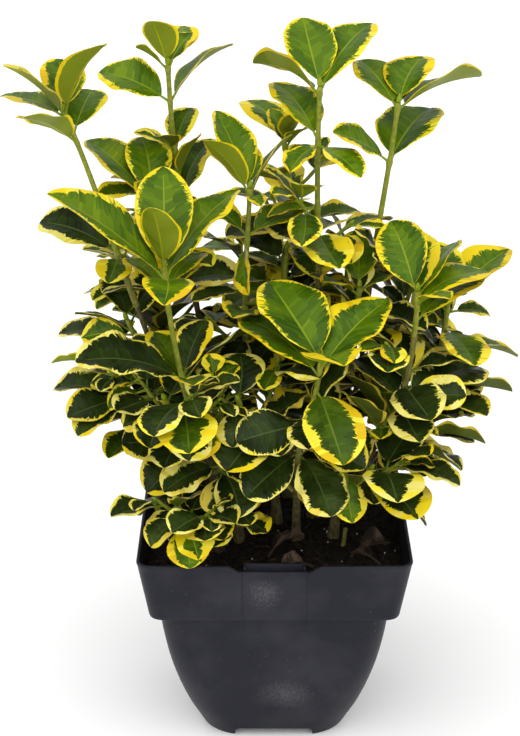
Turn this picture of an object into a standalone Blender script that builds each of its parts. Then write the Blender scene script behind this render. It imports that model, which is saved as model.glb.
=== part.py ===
"""A variegated Japanese euonymus, the Bravo kind, growing in a square nursery pot.

Millimetres inside, metres in the meshes. The pot stands on z = 0, the front of the plant
faces -Y, and angles of direction (az) count from +X towards +Y.
"""

import math
import random

import bmesh
import bpy
from mathutils import Matrix, Vector
from mathutils.bvhtree import BVHTree

MM = 0.001
GAP = 0.3
# The pot stands a little off the middle, so that the whole plant's box is centred.
SHIFT = Vector((6.2, -6.4, 0.0))

# The pot: a deep square collar over a bowl that rounds in towards its feet
POT_H = 145.0
RIM_HALF = 85.0
COLLAR_H = 42.0
COLLAR_FOOT_HALF = 78.6
WALL = 1.6
FLOOR_Z = 6.5
SKIRT = 3.2
CORNER_STEPS = 5
# height above the ground, half width and corner radius of the bowl, from its feet up
BOWL = (
    (0.0, 47.0, 27.6),
    (1.2, 47.8, 27.2),
    (10.0, 51.0, 24.8),
    (21.0, 55.1, 22.3),
    (33.0, 58.9, 20.1),
    (46.0, 62.6, 18.3),
    (60.0, 66.0, 16.8),
    (74.0, 68.7, 15.8),
    (88.0, 70.9, 15.1),
    (POT_H - COLLAR_H, 72.7, 14.6),
)
# the same for the collar's outside, from its rounded foot up to the lip
COLLAR = (
    (POT_H - COLLAR_H, COLLAR_FOOT_HALF - 2.2, 7.0),
    (POT_H - COLLAR_H + 0.7, COLLAR_FOOT_HALF - 0.6, 8.0),
    (POT_H - COLLAR_H + 2.4, COLLAR_FOOT_HALF, 8.5),
    (POT_H - 0.5, RIM_HALF, 9.0),
    (POT_H, RIM_HALF - 0.4, 8.6),
)
# and for its inside, from the lip down to the ledge
LINING = (
    (POT_H, RIM_HALF - WALL, 7.6),
    (POT_H - COLLAR_H + 3.0, COLLAR_FOOT_HALF - WALL + 0.2, 7.0),
    (POT_H - COLLAR_H + 1.9, COLLAR_FOOT_HALF - WALL - 2.0, 7.0),
)
INSIDE_Z = (POT_H - COLLAR_H + 1.7, 74.0, 46.0, 21.0, FLOOR_Z + 3.0)
# half widths of the dip in the front of the rim at its top and at its floor
DIP_TOP = 30.0
DIP_FLAT = 20.5
DIP_DEPTH = 4.6
DIP_STEPS = 8
PANEL_HALF = 20.4
PANEL_DEPTH = 0.8
# notches between the feet
NOTCH_HALF = 25.5
NOTCH_H = 6.0
NOTCH_ROUND = (4.0, 3.2)
NOTCH_STEPS = 4
# the tag pocket behind the dip
TAB_HALF = 19.0
TAB_DEPTH = 7.0
TAB_WALL = 1.2
TAB_Z = (134.2, 142.6)
# the soil's surface, the heights of its rings and its room to the wall
SOIL_Z = 133.0
SOIL_RINGS = (FLOOR_Z + 3.6, 21.0, 46.0, 74.0, POT_H - COLLAR_H + 2.4)
SOIL_ROOM = 0.4
SOIL_STEPS = 3

# Stems out of the soil: foot (x, y), top, lean at the top, radius at the foot and top
STEMS = {
    "stem_left": ((-30, -6), (-64, -10, 226), (-0.5, 0.0), 2.9, 2.0),
    "stem_front_left": ((-22, -30), (-46, -56, 214), (-0.12, -0.1), 2.8, 1.9),
    "stem_rear_left": ((-14, 18), (-44, 22, 250), (-0.2, 0.0), 3.0, 2.1),
    "stem_middle": ((2, -4), (-16, -5, 244), (-0.05, 0.0), 2.7, 1.8),
    "stem_front": ((14, -28), (14, -62, 204), (0.0, -0.3), 2.7, 1.8),
    "stem_rear": ((10, 34), (14, 50, 240), (0.05, 0.1), 2.9, 2.0),
    "stem_right": ((26, 6), (32, 9, 238), (-0.1, 0.0), 3.1, 2.2),
    "stem_front_right": ((38, -24), (62, -40, 205), (0.4, -0.15), 2.8, 2.0),
}

# Boughs: the limb that carries it, how far up that limb, tip, lean at the tip, two radii
BOUGHS = {
    "bough_far_left": ("stem_left", 1.0, (-85, -14, 288), (-0.38, 0.0), 1.8, 1.5),
    "bough_left_low": ("stem_left", 0.55, (-80, -28, 222), (-0.6, -0.3), 1.6, 1.3),
    "bough_tall_left": ("stem_rear_left", 1.0, (-53, 24, 300), (-0.12, 0.0), 1.9, 1.6),
    "bough_left_rear": ("stem_rear_left", 0.72, (-66, 6, 276), (-0.2, 0.0), 1.6, 1.4),
    "bough_back_left": ("stem_rear_left", 0.5, (-62, 52, 232), (-0.4, 0.4), 1.7, 1.4),
    "bough_tall_middle": ("stem_right", 1.0, (28, 10, 292), (0.0, 0.0), 2.0, 1.6),
    "bough_tall_right": ("stem_right", 0.7, (59, 12, 285), (0.22, 0.0), 1.8, 1.5),
    "bough_right_rear": ("stem_right", 0.45, (68, 40, 238), (0.4, 0.3), 1.7, 1.4),
    "bough_right": ("stem_front_right", 0.7, (96, -10, 234), (0.3, 0.1), 1.6, 1.4),
    "bough_front_right": ("stem_front_right", 1.0, (77, -44, 238), (0.1, 0.0), 1.8, 1.5),
    "bough_back": ("stem_rear", 1.0, (16, 52, 284), (0.0, 0.05), 1.8, 1.5),
    "bough_back_right": ("stem_rear", 0.7, (44, 80, 236), (0.3, 0.4), 1.7, 1.4),
    "bough_back_middle": ("stem_rear", 0.45, (-14, 82, 230), (-0.3, 0.5), 1.7, 1.4),
}

# Leafy shoots: the limb that carries it, how far up, tip, lean at the tip, turn of the first
# pair, drops of the pairs below the tip, drops of side twigs, leaf length, width share
SHOOTS = {
    "shoot_far_left": ("bough_far_left", 1.0, (-125, -15, 411), (-0.4, 0.0), 20,
                       (96,), (), 52, 0.58),
    "shoot_tall_left": ("bough_tall_left", 1.0, (-65, 25, 430), (-0.03, 0.0), 60,
                        (72, 88, 100), (92,), 48, 0.6),
    "shoot_left_rear": ("bough_left_rear", 1.0, (-76, 5, 352), (-0.1, 0.0), 10,
                        (12, 36, 50, 62), (44,), 48, 0.56),
    "shoot_front_left": ("stem_front_left", 1.0, (-65, -60, 330), (-0.05, 0.0), 35,
                         (92, 104), (98,), 44, 0.52),
    "shoot_middle": ("stem_middle", 1.0, (-15, -5, 361), (0.05, 0.0), 70,
                     (50, 66, 82, 96), (74,), 46, 0.52),
    "shoot_tall_middle": ("bough_tall_middle", 1.0, (27, 10, 420), (0.03, 0.0), 10,
                          (76, 92, 106), (84, 100), 52, 0.6),
    "shoot_tall_right": ("bough_tall_right", 1.0, (75, 15, 409), (0.1, 0.0), 80,
                         (98, 110), (104,), 52, 0.66),
    "shoot_back_tall": ("bough_back", 1.0, (6, 55, 377), (-0.1, 0.0), 30,
                        (8, 30, 44, 58, 72), (36, 64), 46, 0.56),
    "shoot_right_front": ("bough_front_right", 1.0, (85, -45, 309), (0.0, 0.0), 15,
                          (40, 52, 62), (46,), 50, 0.54),
    "shoot_right": ("bough_right", 1.0, (108, -5, 290), (0.05, 0.0), 75,
                    (9, 20, 34, 46), (38,), 50, 0.56),
    "shoot_front": ("stem_front", 1.0, (27, -74, 276), (0.05, -0.05), 0,
                    (37,), (), 52, 0.62),
    "shoot_inner_right": ("stem_right", 0.86, (52, -12, 300), (0.1, -0.1), 40,
                          (8, 16, 30, 44), (), 42, 0.6),
    "shoot_inner_front": ("stem_middle", 0.62, (2, -42, 262), (0.1, -0.2), 25,
                          (2, 10, 22, 36, 50), (), 46, 0.56),
    "shoot_inner_rear": ("stem_middle", 0.84, (8, 26, 312), (0.1, 0.1), 65,
                         (2, 9, 20, 34, 48), (28,), 50, 0.56),
    "shoot_dark_right": ("stem_front_right", 0.8, (80, -54, 246), (0.4, -0.3), 20,
                         (16, 28), (), 46, 0.6),
    "shoot_low_right": ("stem_front_right", 0.5, (88, -44, 218), (0.8, -0.2), 50,
                        (24, 36), (), 40, 0.6),
    "shoot_side_right": ("bough_right", 0.4, (108, -20, 240), (0.7, -0.1), 10,
                         (3, 10, 20), (), 38, 0.54),
    "shoot_dark_left": ("bough_left_low", 1.0, (-102, -36, 258), (-0.5, -0.2), 0,
                        (9,), (), 34, 0.56),
    "shoot_side_left": ("stem_left", 0.86, (-92, -4, 276), (-0.4, 0.0), 55,
                        (22, 34, 46), (), 46, 0.58),
    "shoot_low_left": ("stem_front_left", 0.6, (-66, -62, 246), (-0.3, -0.2), 30,
                       (26, 40), (), 34, 0.7),
    "shoot_hanging_left": ("stem_front_left", 0.38, (-56, -80, 178), (-0.3, -0.9), 60,
                           (14,), (), 30, 0.78),
    "shoot_front_mid": ("stem_front_left", 0.74, (-46, -78, 246), (-0.1, -0.4), 80,
                        (14,), (), 28, 0.78),
    "shoot_low_front": ("stem_front", 0.62, (-22, -64, 246), (-0.3, -0.4), 15,
                        (12, 38), (), 38, 0.66),
    "shoot_low_mid": ("stem_front", 0.7, (44, -70, 204), (0.5, -0.8), 40,
                      (16, 26), (), 34, 0.68),
    "shoot_low_corner": ("stem_front_right", 0.5, (58, -74, 206), (0.3, -0.8), 70,
                         (10, 20), (), 38, 0.68),
    "shoot_upper_right": ("bough_tall_right", 0.5, (90, 22, 296), (0.4, 0.1), 5,
                          (2, 9, 20, 32), (), 50, 0.52),
    "shoot_back_left": ("bough_back_left", 1.0, (-82, 58, 290), (-0.2, 0.1), 25,
                        (2, 8, 22, 36, 48), (30,), 52, 0.56),
    "shoot_rear_left": ("stem_rear_left", 0.36, (-84, 44, 234), (-0.6, 0.2), 45,
                        (2, 8, 18, 46), (), 42, 0.58),
    "shoot_back_low_left": ("bough_back_left", 0.5, (-58, 86, 222), (-0.3, 0.6), 65,
                            (2, 8, 18, 30), (), 46, 0.58),
    "shoot_back_middle": ("bough_back_middle", 1.0, (-22, 88, 292), (-0.1, 0.15), 85,
                          (2, 8, 22, 38, 50), (30,), 50, 0.56),
    "shoot_back_low": ("bough_back_middle", 0.5, (-4, 100, 212), (0.1, 0.8), 5,
                       (2, 8, 18, 30), (), 44, 0.6),
    "shoot_back_right": ("bough_back_right", 1.0, (50, 86, 294), (0.1, 0.15), 35,
                         (2, 8, 22, 38, 50), (30,), 50, 0.56),
    "shoot_back_low_right": ("stem_rear", 0.36, (62, 84, 214), (0.5, 0.5), 55,
                             (2, 8, 18, 32, 46), (), 44, 0.6),
    "shoot_rear_right": ("bough_right_rear", 1.0, (88, 54, 292), (0.2, 0.1), 75,
                         (2, 8, 22, 38), (30,), 52, 0.56),
    "shoot_side_rear": ("bough_right_rear", 0.5, (106, 26, 240), (0.6, 0.1), 20,
                        (2, 8, 18, 30), (), 48, 0.54),
    "shoot_low_side": ("stem_left", 0.4, (-92, -20, 232), (-0.7, -0.2), 50,
                       (18, 30), (), 40, 0.56),
}

# Leaves of the young tips that stand each their own way: drop below the tip, az, lift, length,
# roll about the midrib
TIP_LEAVES = {
    "shoot_far_left": (
        (2, 101, 36, 44, 0), (2, 334, 56, 54, 0), (4, 210, 43, 52, 0), (4, 150, 8, 50, 0),
        (15, 78, 24, 44, 0), (20, 230, 28, 50, 15), (93, 166, 18, 52, -25), (98, 40, 36, 36, 0)),
    "shoot_tall_left": (
        (2, 245, 60, 37, 10), (2, 80, 24, 44, 0), (3, 50, 40, 30, 0), (3, 150, 26, 26, 40),
        (23, 154, 15, 52, -28), (23, 36, 32, 56, -22), (54, 250, 30, 28, 0), (55, 70, 40, 30, 0),
        (53, 165, 20, 24, 0)),
    "shoot_left_rear": (
        (3, 92, 42, 54, 0), (5, 143, 32, 62, 0), (4, 48, 36, 56, -30)),
    "shoot_front_left": (
        (2, 252, 68, 46, 0), (4, 93, 54, 66, 0), (8, 186, 39, 86, -14), (8, 46, 34, 74, -8),
        (14, 62, 12, 44, 0), (15, 125, 10, 44, 0), (10, 272, 6, 56, 0),
        (72, 199, 17, 68, -22), (74, 280, 20, 46, 0), (73, 46, 16, 58, -38), (72, 66, 40, 42, 0),
        (78, 120, 30, 40, 0)),
    "shoot_middle": (
        (2, 122, 46, 58, 14), (4, 197, 52, 46, 35), (4, 50, 36, 50, -38), (6, 284, 6, 28, 0),
        (3, 92, 36, 44, 0), (30, 140, 20, 42, 0), (30, 43, 8, 58, 0), (34, 272, -35, 40, 60)),
    "shoot_tall_middle": (
        (2, 104, 42, 54, 0), (4, 50, 34, 62, 0), (5, 140, 13, 54, 34), (33, 121, 26, 58, 0),
        (36, 308, -16, 42, 0), (36, 240, -14, 36, 0)),
    "shoot_tall_right": (
        (2, 62, 32, 44, 0), (4, 28, 13, 62, -26), (4, 122, 30, 46, 0), (6, 95, 26, 36, 0),
        (38, 58, 24, 58, 0), (37, 200, 30, 44, -16)),
    "shoot_back_tall": (
        (3, 122, 20, 50, 0), (6, 300, 50, 34, 0), (26, 62, 24, 34, 0), (26, 240, 20, 30, 0)),
    "shoot_right_front": (
        (2, 112, 42, 52, -30), (5, 92, 28, 58, 0), (6, 61, 26, 60, -34), (7, 33, 9, 56, 0),
        (9, 300, 24, 36, 0), (19, 43, 16, 62, 0)),
    "shoot_right": (
        (4, 37, 27, 58, 0), (8, 99, 44, 50, 0), (4, 200, 40, 36, 0)),
    "shoot_front": (
        (2, 123, 32, 66, 0), (6, 40, 30, 63, 6), (10, 136, 18, 66, 0), (4, 284, 22, 52, 0),
        (19, 290, -35, 53, 0), (44, 200, -6, 38, -42), (55, 330, -12, 44, 20),
        (65, 216, -26, 38, -25), (66, 300, -36, 46, 0)),
    "shoot_inner_right": (
        (2, 92, 44, 42, 0), (4, 35, 10, 34, 0), (5, 215, 26, 32, 0)),
    "shoot_dark_right": (
        (3, 38, 8, 62, 14), (9, 20, 6, 46, 10), (6, 350, 4, 40, 30), (10, 285, -10, 34, 0),
        (6, 128, 20, 40, 0)),
    "shoot_low_right": (
        (3, 345, -2, 44, -30), (14, 330, -12, 34, -30), (4, 235, -25, 28, 0), (4, 70, 20, 34, 0),
        (12, 290, -20, 30, 0)),
    "shoot_side_right": (
        (2, 350, -2, 36, -32), (2, 160, 30, 30, 0)),
    "shoot_dark_left": (
        (2, 178, 4, 36, 20), (3, 20, 30, 28, 0)),
    "shoot_side_left": (
        (3, 118, 34, 32, 0), (10, 168, 14, 34, 20), (12, 186, 6, 38, -50), (4, 60, 30, 40, 0),
        (11, 290, 0, 34, 0)),
    "shoot_low_side": (
        (3, 205, -8, 42, -20), (5, 222, -16, 38, 0), (2, 165, 12, 24, -20), (4, 50, 20, 32, 0)),
    "shoot_low_left": (
        (3, 250, -35, 28, 0), (4, 70, 30, 32, 0), (14, 195, -8, 27, -25), (15, 10, 10, 30, 0),
        (46, 188, 4, 38, -26), (56, 212, -24, 36, -10)),
    "shoot_hanging_left": (
        (1, 296, -42, 30, 0), (3, 284, -62, 32, 0), (5, 212, -30, 28, 0), (8, 60, 20, 28, 0),
        (22, 300, 0, 30, 0), (46, 176, 8, 42, -30)),
    "shoot_front_mid": (
        (2, 255, -50, 26, 0), (4, 80, 40, 28, 0), (3, 278, -48, 34, 0), (44, 322, -18, 26, 0),
        (50, 205, -16, 34, -12), (52, 294, -42, 30, 0), (53, 262, -55, 34, 0)),
    "shoot_low_front": (
        (2, 262, -48, 30, 0), (3, 90, 40, 30, 0), (24, 262, -50, 34, 0), (25, 20, 0, 32, 0)),
    "shoot_low_mid": (
        (3, 285, -60, 32, 0), (5, 80, -50, 30, 0), (6, 150, 0, 30, 0), (9, 330, -25, 32, 10)),
    "shoot_low_corner": (
        (2, 308, -20, 40, 0), (4, 120, 20, 34, 0), (3, 20, 0, 34, 0)),
    "shoot_back_left": (
        (52, 150, 30, 56, -10),),
}

# The rule for the other leaves, by rank below the tip
SPREAD = (24, 46, 62, 74, 84, 92, 98)
SIZE = (0.62, 0.92, 1.0, 1.0, 0.96, 0.9, 0.85)
DROOP = (0, 2, 6, 12, 16, 20, 24)
CURL = 34.0
FOLD = 0.16
PETIOLE = 6.5
TWIG_R = (1.45, 1.35, 1.25, 1.15, 1.08, 1.0)
SIDE_R = (1.0, 0.9, 0.8)
SIDE_LEN = 26.0
SIDE_DROPS = (1.5, 9.0)
TRIES = 22
FLARE = 1.45
SEED = 20
FLAT = 0.01
SHARP = math.radians(32)


def lean_vector(lean):
    return Vector((lean[0], lean[1], 1.0)).normalized()


def curve_points(start, start_dir, end, end_dir, count, bow=Vector()):
    """A cubic through two ends with a direction at each, bowed sideways if need be."""
    reach = (end - start).length
    p1 = start + start_dir * reach * 0.36 + bow
    p2 = end - end_dir * reach * 0.36 + bow
    points = []
    for i in range(count + 1):
        t = i / count
        s = 1.0 - t
        points.append(start * s**3 + p1 * 3 * s * s * t + p2 * 3 * s * t * t + end * t**3)
    return points


def path_lengths(points):
    total = [0.0]
    for a, b in zip(points, points[1:]):
        total.append(total[-1] + (b - a).length)
    return total


def path_place(points, distance):
    """The stretch of a path that a distance from its start lies in, and the share of it."""
    total = path_lengths(points)
    distance = min(max(distance, 0.0), total[-1])
    for i in range(len(points) - 1):
        if distance <= total[i + 1] or i == len(points) - 2:
            return i, (distance - total[i]) / (total[i + 1] - total[i])


def path_at(points, distance):
    """The point and direction at a distance from the start of a path."""
    i, t = path_place(points, distance)
    return points[i].lerp(points[i + 1], t), (points[i + 1] - points[i]).normalized()


def limb_start(limb, share, target):
    """Where a limb's child starts, which way it goes and which way its end face looks."""
    points, radii = limb[:2]
    if share >= 1.0:
        way = (points[-1] - points[-2]).normalized()
        return points[-1] + way * GAP, way, way
    distance = path_lengths(points)[-1] * share
    at, way = path_at(points, distance)
    i, t = path_place(points, distance)
    radius = radii[i] + (radii[i + 1] - radii[i]) * t
    out = target - at
    out = (out - way * out.dot(way)).normalized()
    return at + out * (radius + GAP), (out + way * 0.25).normalized(), out


def make_limbs():
    """Paths, radii and the way the lower end face looks, of stems and of boughs."""
    limbs = {}
    for name, (foot, top, lean, r0, r1) in STEMS.items():
        start = Vector((foot[0], foot[1], SOIL_Z + GAP))
        up = Vector((0, 0, 1))
        points = curve_points(start, up, Vector(top), lean_vector(lean), 6)
        radii = [r0 + (r1 - r0) * i / 6 for i in range(7)]
        radii[0] = r0 * FLARE
        limbs[name] = (points, radii, up)
    for name, (parent, share, tip, lean, r0, r1) in BOUGHS.items():
        end = Vector(tip)
        start, way, face = limb_start(limbs[parent], share, end)
        points = curve_points(start, way, end, lean_vector(lean), 4)
        limbs[name] = (points, [r0 + (r1 - r0) * i / 4 for i in range(5)], face)
    return limbs


def leaf_axes(az, lift, roll):
    """Directions along, across and out of a leaf's upper face."""
    a = math.radians(az)
    e = math.radians(lift)
    along = Vector((math.cos(e) * math.cos(a), math.cos(e) * math.sin(a), math.sin(e)))
    up = Vector((-math.sin(e) * math.cos(a), -math.sin(e) * math.sin(a), math.cos(e)))
    turn = Matrix.Rotation(math.radians(roll), 3, along)
    up = turn @ up
    return along, along.cross(up), up


def leaf_line(u, curl):
    """Along and out of a leaf whose midrib arches evenly; its ends are at 0 and 1."""
    k = math.radians(curl)
    chord = 2.0 * math.sin(k / 2) / k
    along = (math.sin(k / 2) - math.sin(k * (0.5 - u))) / k / chord
    out = (math.cos(k * (0.5 - u)) - math.cos(k / 2)) / k / chord
    return along, out


def blade_width(t):
    """Share of the full width at a share t of the blade: a wedge foot, a round end."""
    t = min(max(t, 0.0), 1.0)
    return t**0.75 * (1.0 - t)**0.55 / 0.4125


def leaf_section(leaf, u, half, thick):
    """Left, upper middle, right and lower middle point of a leaf's section."""
    base, az, lift, roll, length, width, curl = leaf
    along, across, up = leaf_axes(az, lift, roll)
    x, z = leaf_line(u, curl)
    mid = base + along * (x * length) + up * (z * length)
    wing = up * (half * FOLD * 2)
    return (
        mid - across * half + wing,
        mid + up * thick * 0.5,
        mid + across * half + wing,
        mid - up * thick * 0.5,
    )


def closed_strip(sections, last_edge):
    """Vertices and faces of a body through four-sided sections, ending in an edge."""
    verts = [p for section in sections for p in section]
    faces = [(0, 1, 2), (0, 2, 3)]
    for i in range(len(sections) - 1):
        a = 4 * i
        for j in range(4):
            k = (j + 1) % 4
            faces.append((a + j, a + 4 + j, a + k))
            faces.append((a + k, a + 4 + j, a + 4 + k))
    left = len(verts)
    right = left + 1
    verts.extend(last_edge)
    a = 4 * (len(sections) - 1)
    faces.append((a, left, a + 1))
    faces.append((a + 1, left, right))
    faces.append((a + 1, right, a + 2))
    faces.append((a + 2, right, a + 3))
    faces.append((a + 3, right, left))
    faces.append((a + 3, left, a))
    return verts, faces


def leaf_body(leaf, spare=0.0):
    """A leaf as one closed body: an upright foot edge, two shoulders a side and a tip."""
    length, half_width = leaf[4], leaf[5] * 0.5
    petiole = PETIOLE / length
    foot = leaf_section(leaf, 0.3 / length, 0.0, 1.0)
    verts = [foot[1], foot[3]]
    for t in (0.27, 0.76):
        half = half_width * blade_width(t) * 1.05 + spare
        section = leaf_section(leaf, petiole + (1.0 - petiole) * t, half, 0.0)
        verts += [section[0], section[2]]
    verts.append(leaf_section(leaf, 1.01, 0.0, 0.0)[1])
    middle = leaf_section(leaf, 0.52, 0.0, 1.1 + 2 * spare)
    verts += [middle[1], middle[3]]
    upper, lower = 7, 8
    rim = (3, 5, 6, 4, 2)
    faces = [(upper, a, b) for a, b in zip(rim, rim[1:])]
    faces += [(lower, b, a) for a, b in zip(rim, rim[1:])]
    faces += [(upper, 2, 0), (upper, 0, 3), (lower, 1, 2), (lower, 3, 1), (0, 1, 3), (1, 0, 2)]
    return verts, faces


def leaf_shape(leaf, half_foot, thick, spare):
    """The leaf's blade in finer steps, as one closed body."""
    half_width = leaf[5] * 0.5
    petiole = PETIOLE / leaf[4]
    sections = [leaf_section(leaf, petiole, half_foot, thick)]
    for t in (0.22, 0.48, 0.72, 0.9):
        half = half_width * blade_width(t) + spare
        sections.append(leaf_section(leaf, petiole + (1.0 - petiole) * t, half, thick))
    end = leaf_section(leaf, 1.0, half_width * 0.3 + spare, 0.0)
    return closed_strip(sections, (end[0], end[2]))


def tube_body(points, radii, sides, face=None):
    """Vertices and faces of a closed tapering limb; face is where its lower end looks."""
    verts = []
    way = face or (points[1] - points[0]).normalized()
    ref = Vector((1, 0, 0)) if abs(way.x) < 0.8 else Vector((0, 1, 0))
    for i, at in enumerate(points):
        before = points[max(i - 1, 0)]
        after = points[min(i + 1, len(points) - 1)]
        way = (after - before).normalized()
        if i == 0 and face is not None:
            way = face
        ref = (ref - way * ref.dot(way)).normalized()
        other = way.cross(ref)
        for k in range(sides):
            a = 2 * math.pi * k / sides
            verts.append(at + (ref * math.cos(a) + other * math.sin(a)) * radii[i])
    faces = []
    for i in range(len(points) - 1):
        a = i * sides
        for k in range(sides):
            j = (k + 1) % sides
            faces.append((a + k, a + j, a + sides + j))
            faces.append((a + k, a + sides + j, a + sides + k))
    last = (len(points) - 1) * sides
    for k in range(1, sides - 1):
        faces.append((0, k + 1, k))
        faces.append((last, last + k, last + k + 1))
    return verts, faces


class Space:
    """What is already there, to keep new twigs and leaves clear of it."""

    def __init__(self):
        self.things = []

    def add(self, body, owner=None, plain=False):
        """A body of one shoot. A plain leaf is felt only by the other shoots."""
        verts, faces = body
        low = [min(v[i] for v in verts) for i in range(3)]
        high = [max(v[i] for v in verts) for i in range(3)]
        tree = BVHTree.FromPolygons(verts, faces)
        self.things.append((low, high, tree, owner, plain))

    def free(self, body, owner=None, plain=False):
        verts, faces = body
        low = [min(v[i] for v in verts) for i in range(3)]
        high = [max(v[i] for v in verts) for i in range(3)]
        tree = None
        for other_low, other_high, other, other_owner, other_plain in self.things:
            if owner is not None and owner == other_owner and (plain or other_plain):
                continue
            if any(low[i] > other_high[i] or high[i] < other_low[i] for i in range(3)):
                continue
            if tree is None:
                tree = BVHTree.FromPolygons(verts, faces)
            if tree.overlap(other):
                return False
        return True


def clear_of_pot(verts):
    """Above the soil inside the rim, above the rim, or outside the collar."""
    for v in verts:
        side = max(abs(v.x), abs(v.y))
        if side < RIM_HALF - 4.0:
            if v.z < SOIL_Z + 1.5:
                return False
        elif side < RIM_HALF + 2.5 and v.z < POT_H + 1.0:
            return False
        elif v.z < POT_H - COLLAR_H:
            return False
    return True


def place_leaf(space, rng, owner, wish, share, firm):
    """The first way that a leaf can stand without touching anything, or None."""
    base, az, lift, length, roll = wish
    width = length * share * rng.uniform(0.94, 1.08)
    curl = CURL * rng.uniform(0.6, 1.4)
    roll += rng.uniform(-5, 5) if firm else rng.uniform(-14, 14)
    for i in range(TRIES):
        swing = i * (1.2 if firm else 2.2)
        leaf = (
            base,
            az + rng.uniform(-swing, swing),
            lift + rng.uniform(-swing, swing) * 0.8,
            roll,
            length * (1.0 - 0.012 * i),
            width * (1.0 - 0.012 * i),
            curl,
        )
        feeler = leaf_shape(leaf, 1.0, 2.0, 0.4)
        if not (clear_of_pot(feeler[0]) and space.free(feeler, owner)):
            continue
        if space.free(leaf_body(leaf, 0.3), owner, True):
            space.add(leaf_shape(leaf, 0.8, 1.0, 0.0), owner)
            space.add(leaf_body(leaf), owner, True)
            return leaf
    return None


def rule_leaves(points, drops, turn, length, rng, first_rank=0):
    """Opposite pairs down a twig, each pair a quarter turn from the last."""
    total = path_lengths(points)[-1]
    wanted = []
    for rank, drop in enumerate(drops):
        if drop > total - 3.0:
            continue
        at, way = path_at(points, total - drop)
        ref = Vector((0, 0, 1)).cross(way)
        if ref.length < 0.05:
            ref = Vector((1, 0, 0))
        ref.normalize()
        other = way.cross(ref)
        age = min(rank + first_rank, len(SPREAD) - 1)
        for half in (0, 180):
            phi = math.radians(turn + 90 * rank + half + rng.uniform(-12, 12))
            off = math.radians(SPREAD[age] + rng.uniform(-7, 7))
            side = ref * math.cos(phi) + other * math.sin(phi)
            out = way * math.cos(off) + side * math.sin(off)
            az = math.degrees(math.atan2(out.y, out.x))
            lift = math.degrees(math.asin(max(-1.0, min(1.0, out.z))))
            lift = lift * 0.85 - DROOP[age] + rng.uniform(-4, 4)
            size = length * SIZE[age] * rng.uniform(0.92, 1.08)
            wanted.append((at, az, lift, size, 0.0))
    return wanted


def side_twig(space, rng, owner, at):
    """A short side twig from a point of a shoot's stem, where there is room for one."""
    for _ in range(6):
        a = rng.uniform(0, 2 * math.pi)
        out = Vector((math.cos(a), math.sin(a), rng.uniform(0.3, 0.7))).normalized()
        tip = at + out * SIDE_LEN * rng.uniform(0.8, 1.2) + Vector((0, 0, 5.0))
        points = curve_points(at, out, tip, Vector((out.x, out.y, 1.2)).normalized(), 2)
        ends = [at.lerp(tip, 0.25), points[1], tip]
        body = tube_body(ends, [r + 0.5 for r in SIDE_R], 4)
        if space.free(body) and clear_of_pot(body[0]):
            space.add(tube_body(points, [r + 0.4 for r in SIDE_R], 4), owner)
            return points, SIDE_R, None
    return None


def shoot_path(space, limb, share, tip, lean):
    """A shoot's stem from its limb to its tip, bowed aside where another is in its way."""
    for i in range(24):
        part = share
        if share < 1.0:
            part = min(0.96, max(0.1, share + 0.012 * i * (-1) ** i))
        start, way, face = limb_start(limb, part, tip)
        bow = Vector((math.cos(2.4 * i), math.sin(2.4 * i), 0)) * (1.2 * i)
        points = curve_points(start, way, tip, lean_vector(lean), 5, bow)
        felt = [points[0].lerp(points[1], 0.35)] + points[1:]
        if space.free(tube_body(felt, [r + 0.6 for r in TWIG_R], 5)):
            return points, face
    return points, face


def grow():
    """Limbs, and for each shoot its twigs and leaves, none touching another."""
    limbs = make_limbs()
    space = Space()
    for points, radii, face in limbs.values():
        space.add(tube_body(points, [r + 0.5 for r in radii], 6, face))
    plants = {}
    for name, (parent, share, tip, lean, *rest) in SHOOTS.items():
        points, face = shoot_path(space, limbs[parent], share, Vector(tip), lean)
        plants[name] = {"twigs": [(points, TWIG_R, face)], "leaves": []}
        space.add(tube_body(points, [r + 0.4 for r in TWIG_R], 5, face), name)
    for index, name in enumerate(SHOOTS):
        rng = random.Random(SEED * 1000 + index)
        points = plants[name]["twigs"][0][0]
        total = path_lengths(points)[-1]
        for drop, az, lift, length, roll in TIP_LEAVES.get(name, ()):
            wish = (path_at(points, total - drop)[0], az, lift, length, roll)
            leaf = place_leaf(space, rng, name, wish, SHOOTS[name][-1], True)
            if leaf:
                plants[name]["leaves"].append(leaf)
    for index, name in enumerate(SHOOTS):
        rng = random.Random(SEED * 2000 + index)
        turn, drops, side_drops, length, share = SHOOTS[name][4:]
        points = plants[name]["twigs"][0][0]
        total = path_lengths(points)[-1]
        wishes = []
        for drop in side_drops:
            twig = side_twig(space, rng, name, path_at(points, total - drop)[0])
            if twig:
                plants[name]["twigs"].append(twig)
                turn2 = rng.uniform(0, 90)
                wishes += rule_leaves(twig[0], SIDE_DROPS, turn2, length * 0.72, rng)
        for wish in rule_leaves(points, drops, turn, length, rng) + wishes:
            leaf = place_leaf(space, rng, name, wish, share, False)
            if leaf:
                plants[name]["leaves"].append(leaf)
    return limbs, plants


def material(name, colour, roughness, metallic=0.0):
    mat = bpy.data.materials.new(name)
    mat.use_nodes = True
    shader = mat.node_tree.nodes["Principled BSDF"]
    shader.inputs["Base Color"].default_value = (*colour, 1.0)
    shader.inputs["Roughness"].default_value = roughness
    shader.inputs["Metallic"].default_value = metallic
    mat.diffuse_color = (*colour, 1.0)
    return mat


def add_object(name, verts, faces, mat, collection=None):
    mesh = bpy.data.meshes.new(name)
    mesh.from_pydata([(Vector(v) + SHIFT) * MM for v in verts], [], faces)
    mesh.validate()
    mesh.shade_smooth()
    mesh.set_sharp_from_angle(angle=SHARP)
    obj = bpy.data.objects.new(name, mesh)
    obj.data.materials.append(mat)
    (collection or bpy.context.scene.collection).objects.link(obj)
    return obj


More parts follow.
